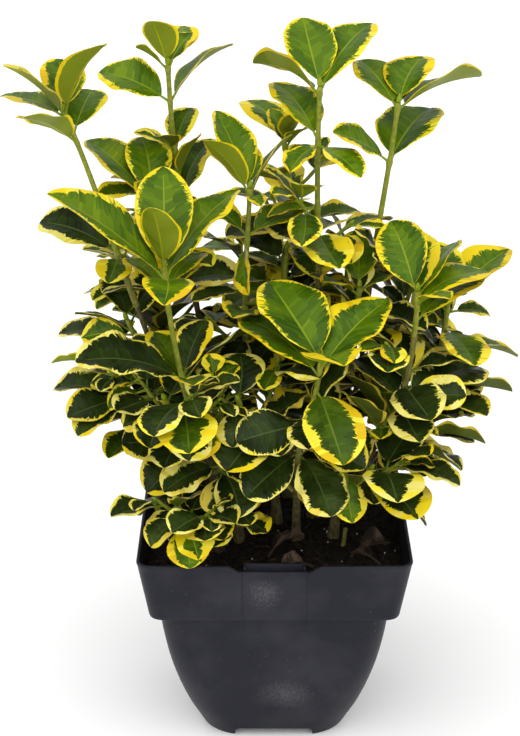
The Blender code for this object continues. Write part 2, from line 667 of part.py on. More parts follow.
def corner_ring(half, radius, z, steps):
    """Points round a square with round corners, from the middle of the right corner on."""
    ring = []
    centre = half - radius
    for quarter in range(4):
        cx = centre if quarter in (0, 3) else -centre
        cy = centre if quarter in (0, 1) else -centre
        for i in range(steps + 1):
            a = math.pi / 2 * (quarter + i / steps)
            ring.append(Vector((cx + radius * math.cos(a), cy + radius * math.sin(a), z)))
    return ring


def loft(rings):
    """A closed body through rings of equal count, with flat ends, facing out."""
    count = len(rings[0])
    verts = [p for ring in rings for p in ring]
    faces = []
    for i in range(len(rings) - 1):
        a = i * count
        for k in range(count):
            j = (k + 1) % count
            faces.append((a + k, a + j, a + count + j, a + count + k))
    faces.append(tuple(reversed(range(count))))
    last = (len(rings) - 1) * count
    faces.append(tuple(last + k for k in range(count)))
    return verts, faces


def cut(obj, cutter, operation="DIFFERENCE"):
    cutter.hide_render = True
    cutter.display_type = "WIRE"
    mod = obj.modifiers.new(cutter.name, "BOOLEAN")
    mod.operation = operation
    mod.object = cutter
    mod.solver = "EXACT"


def prism(name, outline, axis, low, high, mat):
    """A straight prism: an outline across one axis, drawn from low to high along it."""
    bm = bmesh.new()
    points = []
    for a, b in outline:
        if axis == "y":
            points.append(Vector((a, low, b)))
        elif axis == "x":
            points.append(Vector((low, a, b)))
        else:
            points.append(Vector((a, b, low)))
    face = bm.faces.new([bm.verts.new((p + SHIFT) * MM) for p in points])
    out = bmesh.ops.extrude_face_region(bm, geom=[face])
    step = Vector(((high - low) * (axis == "x"), (high - low) * (axis == "y"),
                   (high - low) * (axis == "z"))) * MM
    moved = [g for g in out["geom"] if isinstance(g, bmesh.types.BMVert)]
    bmesh.ops.translate(bm, verts=moved, vec=step)
    bmesh.ops.recalc_face_normals(bm, faces=bm.faces)
    mesh = bpy.data.meshes.new(name)
    bm.to_mesh(mesh)
    bm.free()
    obj = bpy.data.objects.new(name, mesh)
    obj.data.materials.append(mat)
    bpy.context.scene.collection.objects.link(obj)
    return obj


def bowl_at(z):
    """Half width and corner radius of the bowl's outside at a height."""
    for (z0, h0, r0), (z1, h1, r1) in zip(BOWL, BOWL[1:]):
        if z0 <= z <= z1:
            t = (z - z0) / (z1 - z0)
            return h0 + (h1 - h0) * t, r0 + (r1 - r0) * t
    return BOWL[-1][1:]


def collar_half(z):
    """Half width of the collar's outside at a height."""
    (z0, h0, _), (z1, h1, _) = COLLAR[2:4]
    return h0 + (h1 - h0) * (z - z0) / (z1 - z0)


def notch_outline():
    arch = [(-NOTCH_HALF, -2.0)]
    for i in range(NOTCH_STEPS + 1):
        a = math.pi / 2 * i / NOTCH_STEPS
        x = -NOTCH_HALF + NOTCH_ROUND[0] * (1 - math.cos(a))
        arch.append((x, NOTCH_H - NOTCH_ROUND[1] * (1 - math.sin(a))))
    return arch + [(-x, z) for x, z in reversed(arch)]


def dip_outline():
    """The dip in the rim: eased shoulders down to a level floor."""
    dip = [(-DIP_TOP - 0.5, POT_H + 3.0)]
    for i in range(DIP_STEPS + 1):
        t = i / DIP_STEPS
        ease = t * t * (3 - 2 * t)
        dip.append((-DIP_TOP + (DIP_TOP - DIP_FLAT) * t, POT_H + 0.08 * (1 - t) - DIP_DEPTH * ease))
    return dip + [(-x, z) for x, z in reversed(dip)]


def build_pot(mat):
    rings = [corner_ring(h, r, z, CORNER_STEPS) for z, h, r in (*BOWL, *COLLAR, *LINING)]
    for z in INSIDE_Z:
        half, radius = bowl_at(z)
        rings.append(corner_ring(half - WALL, radius - WALL, z, CORNER_STEPS))
    half, radius = bowl_at(FLOOR_Z)
    inset = WALL + 3.0
    rings.append(corner_ring(half - inset, radius - inset, FLOOR_Z, CORNER_STEPS))
    pot = add_object("pot", *loft(rings), mat)

    # the hollow under the floor leaves a skirt
    recess = []
    for z in (-2.0, FLOOR_Z - WALL):
        half, radius = bowl_at(max(z, 0.0))
        recess.append(corner_ring(half - SKIRT, radius - SKIRT, z, CORNER_STEPS))
    cut(pot, add_object("cut_underside", *loft(recess), mat))
    reach = BOWL[0][1]
    for axis in ("x", "y"):
        for side in (-1, 1):
            low, high = sorted((side * (reach + 10.0), side * (reach - SKIRT)))
            cut(pot, prism(f"cut_notch_{axis}{side + 1}", notch_outline(), axis, low, high, mat))

    # the panel under the dip lies a little behind the collar's face
    z0 = POT_H - COLLAR_H - 1.0
    z1 = POT_H + 2.0
    far = -RIM_HALF - 10.0
    panel = [(far, z0), (PANEL_DEPTH - collar_half(z0), z0), (PANEL_DEPTH - collar_half(z1), z1),
             (far, z1)]
    cut(pot, prism("cut_panel", panel, "x", -PANEL_HALF, PANEL_HALF, mat))

    z0, z1 = TAB_Z
    front = 0.7 - collar_half(z0)
    back = front + TAB_DEPTH
    box = [(-TAB_HALF, front), (TAB_HALF, front), (TAB_HALF, back), (-TAB_HALF, back)]
    cut(pot, prism("join_tag_pocket", box, "z", z0, z1, mat), "UNION")
    side = TAB_HALF - TAB_WALL
    front += 0.3
    back -= TAB_WALL
    room = [(-side, front), (side, front), (side, back), (-side, back)]
    cut(pot, prism("cut_tag_room", room, "z", z0 + TAB_WALL, z1 + 4.0, mat))
    cut(pot, prism("cut_dip", dip_outline(), "y", -RIM_HALF - 4.0, -RIM_HALF + 4.0, mat))


def build_soil(mat):
    rings = []
    spare = WALL + SOIL_ROOM
    for z in SOIL_RINGS:
        half, radius = bowl_at(z)
        rings.append(corner_ring(half - spare - 0.5, radius - spare, z, SOIL_STEPS))
    foot = COLLAR_FOOT_HALF - spare - 1.0
    rings.append(corner_ring(foot, 6.4, SOIL_RINGS[-1] + 3.0, SOIL_STEPS))
    top = collar_half(SOIL_Z - 2.0) - spare - 0.4
    rings.append(corner_ring(top, 6.4, SOIL_Z - 2.0, SOIL_STEPS))
    rings.append(corner_ring(top - 3.0, 5.6, SOIL_Z, SOIL_STEPS))
    add_object("soil", *loft(rings), mat)


def fuse(name, bodies, mat):
    """One closed body out of a stem and what grows on it."""
    scene = bpy.context.scene.collection
    first = add_object(name, *bodies[0], mat)
    extra = bpy.data.collections.new(name + "_parts")
    scene.children.link(extra)
    for i, body in enumerate(bodies[1:]):
        add_object(f"{name}_part{i}", *body, mat, extra)
    mod = first.modifiers.new("fuse", "BOOLEAN")
    mod.operation = "UNION"
    mod.operand_type = "COLLECTION"
    mod.collection = extra
    mod.solver = "EXACT"
    graph = bpy.context.evaluated_depsgraph_get()
    fused = bpy.data.meshes.new_from_object(first.evaluated_get(graph))
    first.modifiers.clear()
    first.data = fused
    for obj in list(extra.objects):
        bpy.data.objects.remove(obj, do_unlink=True)
    bpy.data.collections.remove(extra)
    return first


def keep_largest(obj):
    """Flat faces merged, triangles throughout and loose scraps dropped."""
    bm = bmesh.new()
    bm.from_mesh(obj.data)
    bmesh.ops.dissolve_limit(bm, angle_limit=FLAT, verts=bm.verts, edges=bm.edges)
    bmesh.ops.triangulate(bm, faces=bm.faces)
    seen = set()
    groups = []
    for vert in bm.verts:
        if vert in seen:
            continue
        group = [vert]
        seen.add(vert)
        for v in group:
            for edge in v.link_edges:
                w = edge.other_vert(v)
                if w not in seen:
                    seen.add(w)
                    group.append(w)
        groups.append(group)
    groups.sort(key=len)
    for group in groups[:-1]:
        bmesh.ops.delete(bm, geom=group, context="VERTS")
    bm.to_mesh(obj.data)
    bm.free()
    obj.data.shade_smooth()
    obj.data.set_sharp_from_angle(angle=SHARP)


def build():
    for obj in list(bpy.data.objects):
        bpy.data.objects.remove(obj, do_unlink=True)
    plastic = material("pot_plastic", (0.032, 0.032, 0.040), 0.5)
    soil = material("potting_soil", (0.020, 0.013, 0.009), 0.95)
    bark = material("stem_bark", (0.16, 0.14, 0.06), 0.75)
    green = material("shoot_leaves", (0.10, 0.20, 0.03), 0.35)
    build_pot(plastic)
    build_soil(soil)
    limbs, plants = grow()
    for name, (points, radii, face) in limbs.items():
        add_object(name, *tube_body(points, radii, 6 if name in STEMS else 5, face), bark)
    for name, plant in plants.items():
        bodies = []
        for i, (points, radii, face) in enumerate(plant["twigs"]):
            bodies.append(tube_body(points, radii, 4 if i == 0 else 3, face))
        bodies += [leaf_body(leaf) for leaf in plant["leaves"]]
        keep_largest(fuse(name, bodies, green))


build()
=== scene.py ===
"""The looks of a variegated Japanese euonymus, the Bravo kind, in its square nursery pot.

Millimetres inside, metres in the meshes. The shoots grow by the rule of the solids and go on to
more side twigs and leaves, with ribs, margins and buds. The front of the plant faces -Y, and
angles of direction (az) count from +X towards +Y.
"""

import math
import random
from bisect import bisect

import bmesh
import bpy
import numpy as np
from mathutils import Matrix, Vector, noise
from mathutils.bvhtree import BVHTree


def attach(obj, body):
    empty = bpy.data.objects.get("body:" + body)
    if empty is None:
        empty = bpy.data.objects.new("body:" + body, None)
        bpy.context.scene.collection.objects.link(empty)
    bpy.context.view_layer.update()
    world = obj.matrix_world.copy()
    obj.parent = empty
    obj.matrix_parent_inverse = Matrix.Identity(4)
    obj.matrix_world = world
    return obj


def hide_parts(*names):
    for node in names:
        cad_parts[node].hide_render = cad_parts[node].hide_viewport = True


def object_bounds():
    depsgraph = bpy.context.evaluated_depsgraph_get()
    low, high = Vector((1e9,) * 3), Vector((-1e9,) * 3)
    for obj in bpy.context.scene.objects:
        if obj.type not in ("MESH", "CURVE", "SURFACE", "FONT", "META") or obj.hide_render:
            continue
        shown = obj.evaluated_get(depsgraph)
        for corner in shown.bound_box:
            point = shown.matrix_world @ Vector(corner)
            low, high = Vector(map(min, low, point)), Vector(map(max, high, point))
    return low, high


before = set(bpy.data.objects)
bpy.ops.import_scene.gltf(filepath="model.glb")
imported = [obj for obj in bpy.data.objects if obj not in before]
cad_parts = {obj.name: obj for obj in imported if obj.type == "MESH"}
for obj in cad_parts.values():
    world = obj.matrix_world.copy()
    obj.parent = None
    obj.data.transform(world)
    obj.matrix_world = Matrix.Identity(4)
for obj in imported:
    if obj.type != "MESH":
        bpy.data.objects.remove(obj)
cad_low, cad_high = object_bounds()

BODY = "root"
MM = 0.001
GAP = 0.3
# The pot stands a little off the middle, so that the whole plant's box is centred.
SHIFT = Vector((6.2, -6.4, 0.0))

# The pot: a deep square collar over a bowl that rounds in towards its feet
POT_H = 145.0
RIM_HALF = 85.0
COLLAR_H = 42.0
COLLAR_FOOT_HALF = 78.6
WALL = 1.6
FLOOR_Z = 6.5
SKIRT = 3.2
CORNER_STEPS = 5
# height above the ground, half width and corner radius of the bowl, from its feet up
BOWL = (
    (0.0, 47.0, 27.6),
    (1.2, 47.8, 27.2),
    (10.0, 51.0, 24.8),
    (21.0, 55.1, 22.3),
    (33.0, 58.9, 20.1),
    (46.0, 62.6, 18.3),
    (60.0, 66.0, 16.8),
    (74.0, 68.7, 15.8),
    (88.0, 70.9, 15.1),
    (POT_H - COLLAR_H, 72.7, 14.6),
)
# the same for the collar's outside, from its rounded foot up to the lip
COLLAR = (
    (POT_H - COLLAR_H, COLLAR_FOOT_HALF - 2.2, 7.0),
    (POT_H - COLLAR_H + 0.7, COLLAR_FOOT_HALF - 0.6, 8.0),
    (POT_H - COLLAR_H + 2.4, COLLAR_FOOT_HALF, 8.5),
    (POT_H - 0.5, RIM_HALF, 9.0),
    (POT_H, RIM_HALF - 0.4, 8.6),
)
# and for its inside, from the lip down to the ledge
LINING = (
    (POT_H, RIM_HALF - WALL, 7.6),
    (POT_H - COLLAR_H + 3.0, COLLAR_FOOT_HALF - WALL + 0.2, 7.0),
    (POT_H - COLLAR_H + 1.9, COLLAR_FOOT_HALF - WALL - 2.0, 7.0),
)
INSIDE_Z = (POT_H - COLLAR_H + 1.7, 74.0, 46.0, 21.0, FLOOR_Z + 3.0)
# half widths of the dip in the front of the rim at its top and at its floor
DIP_TOP = 30.0
DIP_FLAT = 20.5
DIP_DEPTH = 4.6
DIP_STEPS = 8
PANEL_HALF = 20.4
PANEL_DEPTH = 0.8
# notches between the feet
NOTCH_HALF = 25.5
NOTCH_H = 6.0
NOTCH_ROUND = (4.0, 3.2)
NOTCH_STEPS = 4
# the tag pocket behind the dip
TAB_HALF = 19.0
TAB_DEPTH = 7.0
TAB_WALL = 1.2
TAB_Z = (134.2, 142.6)
# the soil's surface, the heights of its rings and its room to the wall
SOIL_Z = 133.0
SOIL_RINGS = (FLOOR_Z + 3.6, 21.0, 46.0, 74.0, POT_H - COLLAR_H + 2.4)
SOIL_ROOM = 0.4
SOIL_STEPS = 3

# Stems out of the soil: foot (x, y), top, lean at the top, radius at the foot and top
STEMS = {
    "stem_left": ((-30, -6), (-64, -10, 226), (-0.5, 0.0), 2.9, 2.0),
    "stem_front_left": ((-22, -30), (-46, -56, 214), (-0.12, -0.1), 2.8, 1.9),
    "stem_rear_left": ((-14, 18), (-44, 22, 250), (-0.2, 0.0), 3.0, 2.1),
    "stem_middle": ((2, -4), (-16, -5, 244), (-0.05, 0.0), 2.7, 1.8),
    "stem_front": ((14, -28), (14, -62, 204), (0.0, -0.3), 2.7, 1.8),
    "stem_rear": ((10, 34), (14, 50, 240), (0.05, 0.1), 2.9, 2.0),
    "stem_right": ((26, 6), (32, 9, 238), (-0.1, 0.0), 3.1, 2.2),
    "stem_front_right": ((38, -24), (62, -40, 205), (0.4, -0.15), 2.8, 2.0),
}

# Boughs: the limb that carries it, how far up that limb, tip, lean at the tip, two radii
BOUGHS = {
    "bough_far_left": ("stem_left", 1.0, (-85, -14, 288), (-0.38, 0.0), 1.8, 1.5),
    "bough_left_low": ("stem_left", 0.55, (-80, -28, 222), (-0.6, -0.3), 1.6, 1.3),
    "bough_tall_left": ("stem_rear_left", 1.0, (-53, 24, 300), (-0.12, 0.0), 1.9, 1.6),
    "bough_left_rear": ("stem_rear_left", 0.72, (-66, 6, 276), (-0.2, 0.0), 1.6, 1.4),
    "bough_back_left": ("stem_rear_left", 0.5, (-62, 52, 232), (-0.4, 0.4), 1.7, 1.4),
    "bough_tall_middle": ("stem_right", 1.0, (28, 10, 292), (0.0, 0.0), 2.0, 1.6),
    "bough_tall_right": ("stem_right", 0.7, (59, 12, 285), (0.22, 0.0), 1.8, 1.5),
    "bough_right_rear": ("stem_right", 0.45, (68, 40, 238), (0.4, 0.3), 1.7, 1.4),
    "bough_right": ("stem_front_right", 0.7, (96, -10, 234), (0.3, 0.1), 1.6, 1.4),
    "bough_front_right": ("stem_front_right", 1.0, (77, -44, 238), (0.1, 0.0), 1.8, 1.5),
    "bough_back": ("stem_rear", 1.0, (16, 52, 284), (0.0, 0.05), 1.8, 1.5),
    "bough_back_right": ("stem_rear", 0.7, (44, 80, 236), (0.3, 0.4), 1.7, 1.4),
    "bough_back_middle": ("stem_rear", 0.45, (-14, 82, 230), (-0.3, 0.5), 1.7, 1.4),
}

# Leafy shoots: the limb that carries it, how far up, tip, lean at the tip, turn of the first
# pair, drops of the pairs below the tip, drops of side twigs, leaf length, width share
SHOOTS = {
    "shoot_far_left": ("bough_far_left", 1.0, (-125, -15, 411), (-0.4, 0.0), 20,
                       (96,), (), 52, 0.58),
    "shoot_tall_left": ("bough_tall_left", 1.0, (-65, 25, 430), (-0.03, 0.0), 60,
                        (72, 88, 100), (92,), 48, 0.6),
    "shoot_left_rear": ("bough_left_rear", 1.0, (-76, 5, 352), (-0.1, 0.0), 10,
                        (12, 36, 50, 62), (44,), 48, 0.56),
    "shoot_front_left": ("stem_front_left", 1.0, (-65, -60, 330), (-0.05, 0.0), 35,
                         (92, 104), (98,), 44, 0.52),
    "shoot_middle": ("stem_middle", 1.0, (-15, -5, 361), (0.05, 0.0), 70,
                     (50, 66, 82, 96), (74,), 46, 0.52),
    "shoot_tall_middle": ("bough_tall_middle", 1.0, (27, 10, 420), (0.03, 0.0), 10,
                          (76, 92, 106), (84, 100), 52, 0.6),
    "shoot_tall_right": ("bough_tall_right", 1.0, (75, 15, 409), (0.1, 0.0), 80,
                         (98, 110), (104,), 52, 0.66),
    "shoot_back_tall": ("bough_back", 1.0, (6, 55, 377), (-0.1, 0.0), 30,
                        (8, 30, 44, 58, 72), (36, 64), 46, 0.56),
    "shoot_right_front": ("bough_front_right", 1.0, (85, -45, 309), (0.0, 0.0), 15,
                          (40, 52, 62), (46,), 50, 0.54),
    "shoot_right": ("bough_right", 1.0, (108, -5, 290), (0.05, 0.0), 75,
                    (9, 20, 34, 46), (38,), 50, 0.56),
    "shoot_front": ("stem_front", 1.0, (27, -74, 276), (0.05, -0.05), 0,
                    (37,), (), 52, 0.62),
    "shoot_inner_right": ("stem_right", 0.86, (52, -12, 300), (0.1, -0.1), 40,
                          (8, 16, 30, 44), (), 42, 0.6),
    "shoot_inner_front": ("stem_middle", 0.62, (2, -42, 262), (0.1, -0.2), 25,
                          (2, 10, 22, 36, 50), (), 46, 0.56),
    "shoot_inner_rear": ("stem_middle", 0.84, (8, 26, 312), (0.1, 0.1), 65,
                         (2, 9, 20, 34, 48), (28,), 50, 0.56),
    "shoot_dark_right": ("stem_front_right", 0.8, (80, -54, 246), (0.4, -0.3), 20,
                         (16, 28), (), 46, 0.6),
    "shoot_low_right": ("stem_front_right", 0.5, (88, -44, 218), (0.8, -0.2), 50,
                        (24, 36), (), 40, 0.6),
    "shoot_side_right": ("bough_right", 0.4, (108, -20, 240), (0.7, -0.1), 10,
                         (3, 10, 20), (), 38, 0.54),
    "shoot_dark_left": ("bough_left_low", 1.0, (-102, -36, 258), (-0.5, -0.2), 0,
                        (9,), (), 34, 0.56),
    "shoot_side_left": ("stem_left", 0.86, (-92, -4, 276), (-0.4, 0.0), 55,
                        (22, 34, 46), (), 46, 0.58),
    "shoot_low_left": ("stem_front_left", 0.6, (-66, -62, 246), (-0.3, -0.2), 30,
                       (26, 40), (), 34, 0.7),
    "shoot_hanging_left": ("stem_front_left", 0.38, (-56, -80, 178), (-0.3, -0.9), 60,
                           (14,), (), 30, 0.78),
    "shoot_front_mid": ("stem_front_left", 0.74, (-46, -78, 246), (-0.1, -0.4), 80,
                        (14,), (), 28, 0.78),
    "shoot_low_front": ("stem_front", 0.62, (-22, -64, 246), (-0.3, -0.4), 15,
                        (12, 38), (), 38, 0.66),
    "shoot_low_mid": ("stem_front", 0.7, (44, -70, 204), (0.5, -0.8), 40,
                      (16, 26), (), 34, 0.68),
    "shoot_low_corner": ("stem_front_right", 0.5, (58, -74, 206), (0.3, -0.8), 70,
                         (10, 20), (), 38, 0.68),
    "shoot_upper_right": ("bough_tall_right", 0.5, (90, 22, 296), (0.4, 0.1), 5,
                          (2, 9, 20, 32), (), 50, 0.52),
    "shoot_back_left": ("bough_back_left", 1.0, (-82, 58, 290), (-0.2, 0.1), 25,
                        (2, 8, 22, 36, 48), (30,), 52, 0.56),
    "shoot_rear_left": ("stem_rear_left", 0.36, (-84, 44, 234), (-0.6, 0.2), 45,
                        (2, 8, 18, 46), (), 42, 0.58),
    "shoot_back_low_left": ("bough_back_left", 0.5, (-58, 86, 222), (-0.3, 0.6), 65,
                            (2, 8, 18, 30), (), 46, 0.58),
    "shoot_back_middle": ("bough_back_middle", 1.0, (-22, 88, 292), (-0.1, 0.15), 85,
                          (2, 8, 22, 38, 50), (30,), 50, 0.56),
    "shoot_back_low": ("bough_back_middle", 0.5, (-4, 100, 212), (0.1, 0.8), 5,
                       (2, 8, 18, 30), (), 44, 0.6),
    "shoot_back_right": ("bough_back_right", 1.0, (50, 86, 294), (0.1, 0.15), 35,
                         (2, 8, 22, 38, 50), (30,), 50, 0.56),
    "shoot_back_low_right": ("stem_rear", 0.36, (62, 84, 214), (0.5, 0.5), 55,
                             (2, 8, 18, 32, 46), (), 44, 0.6),
    "shoot_rear_right": ("bough_right_rear", 1.0, (88, 54, 292), (0.2, 0.1), 75,
                         (2, 8, 22, 38), (30,), 52, 0.56),
    "shoot_side_rear": ("bough_right_rear", 0.5, (106, 26, 240), (0.6, 0.1), 20,
                        (2, 8, 18, 30), (), 48, 0.54),
    "shoot_low_side": ("stem_left", 0.4, (-92, -20, 232), (-0.7, -0.2), 50,
                       (18, 30), (), 40, 0.56),
}

# Leaves of the young tips that stand each their own way: drop below the tip, az, lift, length,
# roll about the midrib
TIP_LEAVES = {
    "shoot_far_left": (
        (2, 101, 36, 44, 0), (2, 334, 56, 54, 0), (4, 210, 43, 52, 0), (4, 150, 8, 50, 0),
        (15, 78, 24, 44, 0), (20, 230, 28, 50, 15), (93, 166, 18, 52, -25), (98, 40, 36, 36, 0)),
    "shoot_tall_left": (
        (2, 245, 60, 37, 10), (2, 80, 24, 44, 0), (3, 50, 40, 30, 0), (3, 150, 26, 26, 40),
        (23, 154, 15, 52, -28), (23, 36, 32, 56, -22), (54, 250, 30, 28, 0), (55, 70, 40, 30, 0),
        (53, 165, 20, 24, 0)),
    "shoot_left_rear": (
        (3, 92, 42, 54, 0), (5, 143, 32, 62, 0), (4, 48, 36, 56, -30)),
    "shoot_front_left": (
        (2, 252, 68, 46, 0), (4, 93, 54, 66, 0), (8, 186, 39, 86, -14), (8, 46, 34, 74, -8),
        (14, 62, 12, 44, 0), (15, 125, 10, 44, 0), (10, 272, 6, 56, 0),
        (72, 199, 17, 68, -22), (74, 280, 20, 46, 0), (73, 46, 16, 58, -38), (72, 66, 40, 42, 0),
        (78, 120, 30, 40, 0)),
    "shoot_middle": (
        (2, 122, 46, 58, 14), (4, 197, 52, 46, 35), (4, 50, 36, 50, -38), (6, 284, 6, 28, 0),
        (3, 92, 36, 44, 0), (30, 140, 20, 42, 0), (30, 43, 8, 58, 0), (34, 272, -35, 40, 60)),
    "shoot_tall_middle": (
        (2, 104, 42, 54, 0), (4, 50, 34, 62, 0), (5, 140, 13, 54, 34), (33, 121, 26, 58, 0),
        (36, 308, -16, 42, 0), (36, 240, -14, 36, 0)),
    "shoot_tall_right": (
        (2, 62, 32, 44, 0), (4, 28, 13, 62, -26), (4, 122, 30, 46, 0), (6, 95, 26, 36, 0),
        (38, 58, 24, 58, 0), (37, 200, 30, 44, -16)),
    "shoot_back_tall": (
        (3, 122, 20, 50, 0), (6, 300, 50, 34, 0), (26, 62, 24, 34, 0), (26, 240, 20, 30, 0)),
    "shoot_right_front": (
        (2, 112, 42, 52, -30), (5, 92, 28, 58, 0), (6, 61, 26, 60, -34), (7, 33, 9, 56, 0),
        (9, 300, 24, 36, 0), (19, 43, 16, 62, 0)),
    "shoot_right": (
        (4, 37, 27, 58, 0), (8, 99, 44, 50, 0), (4, 200, 40, 36, 0)),
    "shoot_front": (
        (2, 123, 32, 66, 0), (6, 40, 30, 63, 6), (10, 136, 18, 66, 0), (4, 284, 22, 52, 0),
        (19, 290, -35, 53, 0), (44, 200, -6, 38, -42), (55, 330, -12, 44, 20),
        (65, 216, -26, 38, -25), (66, 300, -36, 46, 0)),
    "shoot_inner_right": (
        (2, 92, 44, 42, 0), (4, 35, 10, 34, 0), (5, 215, 26, 32, 0)),
    "shoot_dark_right": (
        (3, 38, 8, 62, 14), (9, 20, 6, 46, 10), (6, 350, 4, 40, 30), (10, 285, -10, 34, 0),
        (6, 128, 20, 40, 0)),
    "shoot_low_right": (
        (3, 345, -2, 44, -30), (14, 330, -12, 34, -30), (4, 235, -25, 28, 0), (4, 70, 20, 34, 0),
        (12, 290, -20, 30, 0)),
    "shoot_side_right": (
        (2, 350, -2, 36, -32), (2, 160, 30, 30, 0)),
    "shoot_dark_left": (
        (2, 178, 4, 36, 20), (3, 20, 30, 28, 0)),
    "shoot_side_left": (
        (3, 118, 34, 32, 0), (10, 168, 14, 34, 20), (12, 186, 6, 38, -50), (4, 60, 30, 40, 0),
        (11, 290, 0, 34, 0)),
    "shoot_low_side": (
        (3, 205, -8, 42, -20), (5, 222, -16, 38, 0), (2, 165, 12, 24, -20), (4, 50, 20, 32, 0)),
    "shoot_low_left": (
        (3, 250, -35, 28, 0), (4, 70, 30, 32, 0), (14, 195, -8, 27, -25), (15, 10, 10, 30, 0),
        (46, 188, 4, 38, -26), (56, 212, -24, 36, -10)),
    "shoot_hanging_left": (
        (1, 296, -42, 30, 0), (3, 284, -62, 32, 0), (5, 212, -30, 28, 0), (8, 60, 20, 28, 0),
        (22, 300, 0, 30, 0), (46, 176, 8, 42, -30)),
    "shoot_front_mid": (
        (2, 255, -50, 26, 0), (4, 80, 40, 28, 0), (3, 278, -48, 34, 0), (44, 322, -18, 26, 0),
        (50, 205, -16, 34, -12), (52, 294, -42, 30, 0), (53, 262, -55, 34, 0)),
    "shoot_low_front": (
        (2, 262, -48, 30, 0), (3, 90, 40, 30, 0), (24, 262, -50, 34, 0), (25, 20, 0, 32, 0)),
    "shoot_low_mid": (
        (3, 285, -60, 32, 0), (5, 80, -50, 30, 0), (6, 150, 0, 30, 0), (9, 330, -25, 32, 10)),
    "shoot_low_corner": (
        (2, 308, -20, 40, 0), (4, 120, 20, 34, 0), (3, 20, 0, 34, 0)),
    "shoot_back_left": (
        (52, 150, 30, 56, -10),),
}

# The rule for the other leaves, by rank below the tip
SPREAD = (24, 46, 62, 74, 84, 92, 98)
SIZE = (0.62, 0.92, 1.0, 1.0, 0.96, 0.9, 0.85)
DROOP = (0, 2, 6, 12, 16, 20, 24)
CURL = 34.0
FOLD = 0.16
PETIOLE = 6.5
TWIG_R = (1.45, 1.35, 1.25, 1.15, 1.08, 1.0)
SIDE_R = (1.0, 0.9, 0.8)
SIDE_LEN = 26.0
SIDE_DROPS = (1.5, 9.0)
TRIES = 22
FLARE = 1.45
SEED = 20
FLAT = 0.01
SHARP = math.radians(32)


# Further side twigs in the scene only: how many drops below a shoot's tip, and leaf length
FILL_TWIGS = {
    "shoot_low_left": ((10, 20, 31, 42), 34),
    "shoot_hanging_left": ((8, 16, 25, 33), 31),
    "shoot_front_mid": ((8, 17, 27, 36), 34),
    "shoot_low_front": ((12, 24, 36), 37),
    "shoot_low_mid": ((12, 24, 36), 37),
    "shoot_low_corner": ((12, 24, 34), 37),
    "shoot_low_right": ((12, 24, 38), 37),
    "shoot_low_side": ((12, 24, 36), 37),
    "shoot_dark_left": ((30, 40), 39),
    "shoot_dark_right": ((40, 50), 39),
    "shoot_side_left": ((34, 48), 39),
    "shoot_side_right": ((22, 34), 39),
    "shoot_inner_front": ((28, 42, 56), 37),
    "shoot_inner_right": ((36, 50), 37),
    "shoot_inner_rear": ((42, 56), 37),
    "shoot_rear_left": ((24, 38), 39),
    "shoot_back_low_left": ((14, 26, 38), 39),
    "shoot_back_low": ((14, 26, 38), 39),
    "shoot_back_low_right": ((24, 38), 39),
    "shoot_back_left": ((44, 56), 41),
    "shoot_back_middle": ((44, 56), 41),
    "shoot_back_right": ((44, 56), 41),
    "shoot_side_rear": ((24, 38), 39),
    "shoot_rear_right": ((42,), 39),
    "shoot_front_left": ((112, 124), 35),
    "shoot_middle": ((104,), 35),
    "shoot_front": ((76,), 35),
}
FILL_SEED = 4100


def lean_vector(lean):
    return Vector((lean[0], lean[1], 1.0)).normalized()


def curve_points(start, start_dir, end, end_dir, count, bow=Vector()):
    """A cubic through two ends with a direction at each, bowed sideways if need be."""
    reach = (end - start).length
    p1 = start + start_dir * reach * 0.36 + bow
    p2 = end - end_dir * reach * 0.36 + bow
    points = []
    for i in range(count + 1):
        t = i / count
        s = 1.0 - t
        points.append(start * s**3 + p1 * 3 * s * s * t + p2 * 3 * s * t * t + end * t**3)
    return points


def path_lengths(points):
    total = [0.0]
    for a, b in zip(points, points[1:]):
        total.append(total[-1] + (b - a).length)
    return total


def path_place(points, distance):
    """The stretch of a path that a distance from its start lies in, and the share of it."""
    total = path_lengths(points)
    distance = min(max(distance, 0.0), total[-1])
    for i in range(len(points) - 1):
        if distance <= total[i + 1] or i == len(points) - 2:
            return i, (distance - total[i]) / (total[i + 1] - total[i])


def path_at(points, distance):
    """The point and direction at a distance from the start of a path."""
    i, t = path_place(points, distance)
    return points[i].lerp(points[i + 1], t), (points[i + 1] - points[i]).normalized()


def limb_start(limb, share, target):
    """Where a limb's child starts, which way it goes and which way its end face looks."""
    points, radii = limb[:2]
    if share >= 1.0:
        way = (points[-1] - points[-2]).normalized()
        return points[-1] + way * GAP, way, way
    distance = path_lengths(points)[-1] * share
    at, way = path_at(points, distance)
    i, t = path_place(points, distance)
    radius = radii[i] + (radii[i + 1] - radii[i]) * t
    out = target - at
    out = (out - way * out.dot(way)).normalized()
    return at + out * (radius + GAP), (out + way * 0.25).normalized(), out


def make_limbs():
    """Paths, radii and the way the lower end face looks, of stems and of boughs."""
    limbs = {}
    for name, (foot, top, lean, r0, r1) in STEMS.items():
        start = Vector((foot[0], foot[1], SOIL_Z + GAP))
        up = Vector((0, 0, 1))
        points = curve_points(start, up, Vector(top), lean_vector(lean), 6)
        radii = [r0 + (r1 - r0) * i / 6 for i in range(7)]
        radii[0] = r0 * FLARE
        limbs[name] = (points, radii, up)
    for name, (parent, share, tip, lean, r0, r1) in BOUGHS.items():
        end = Vector(tip)
        start, way, face = limb_start(limbs[parent], share, end)
        points = curve_points(start, way, end, lean_vector(lean), 4)
        limbs[name] = (points, [r0 + (r1 - r0) * i / 4 for i in range(5)], face)
    return limbs


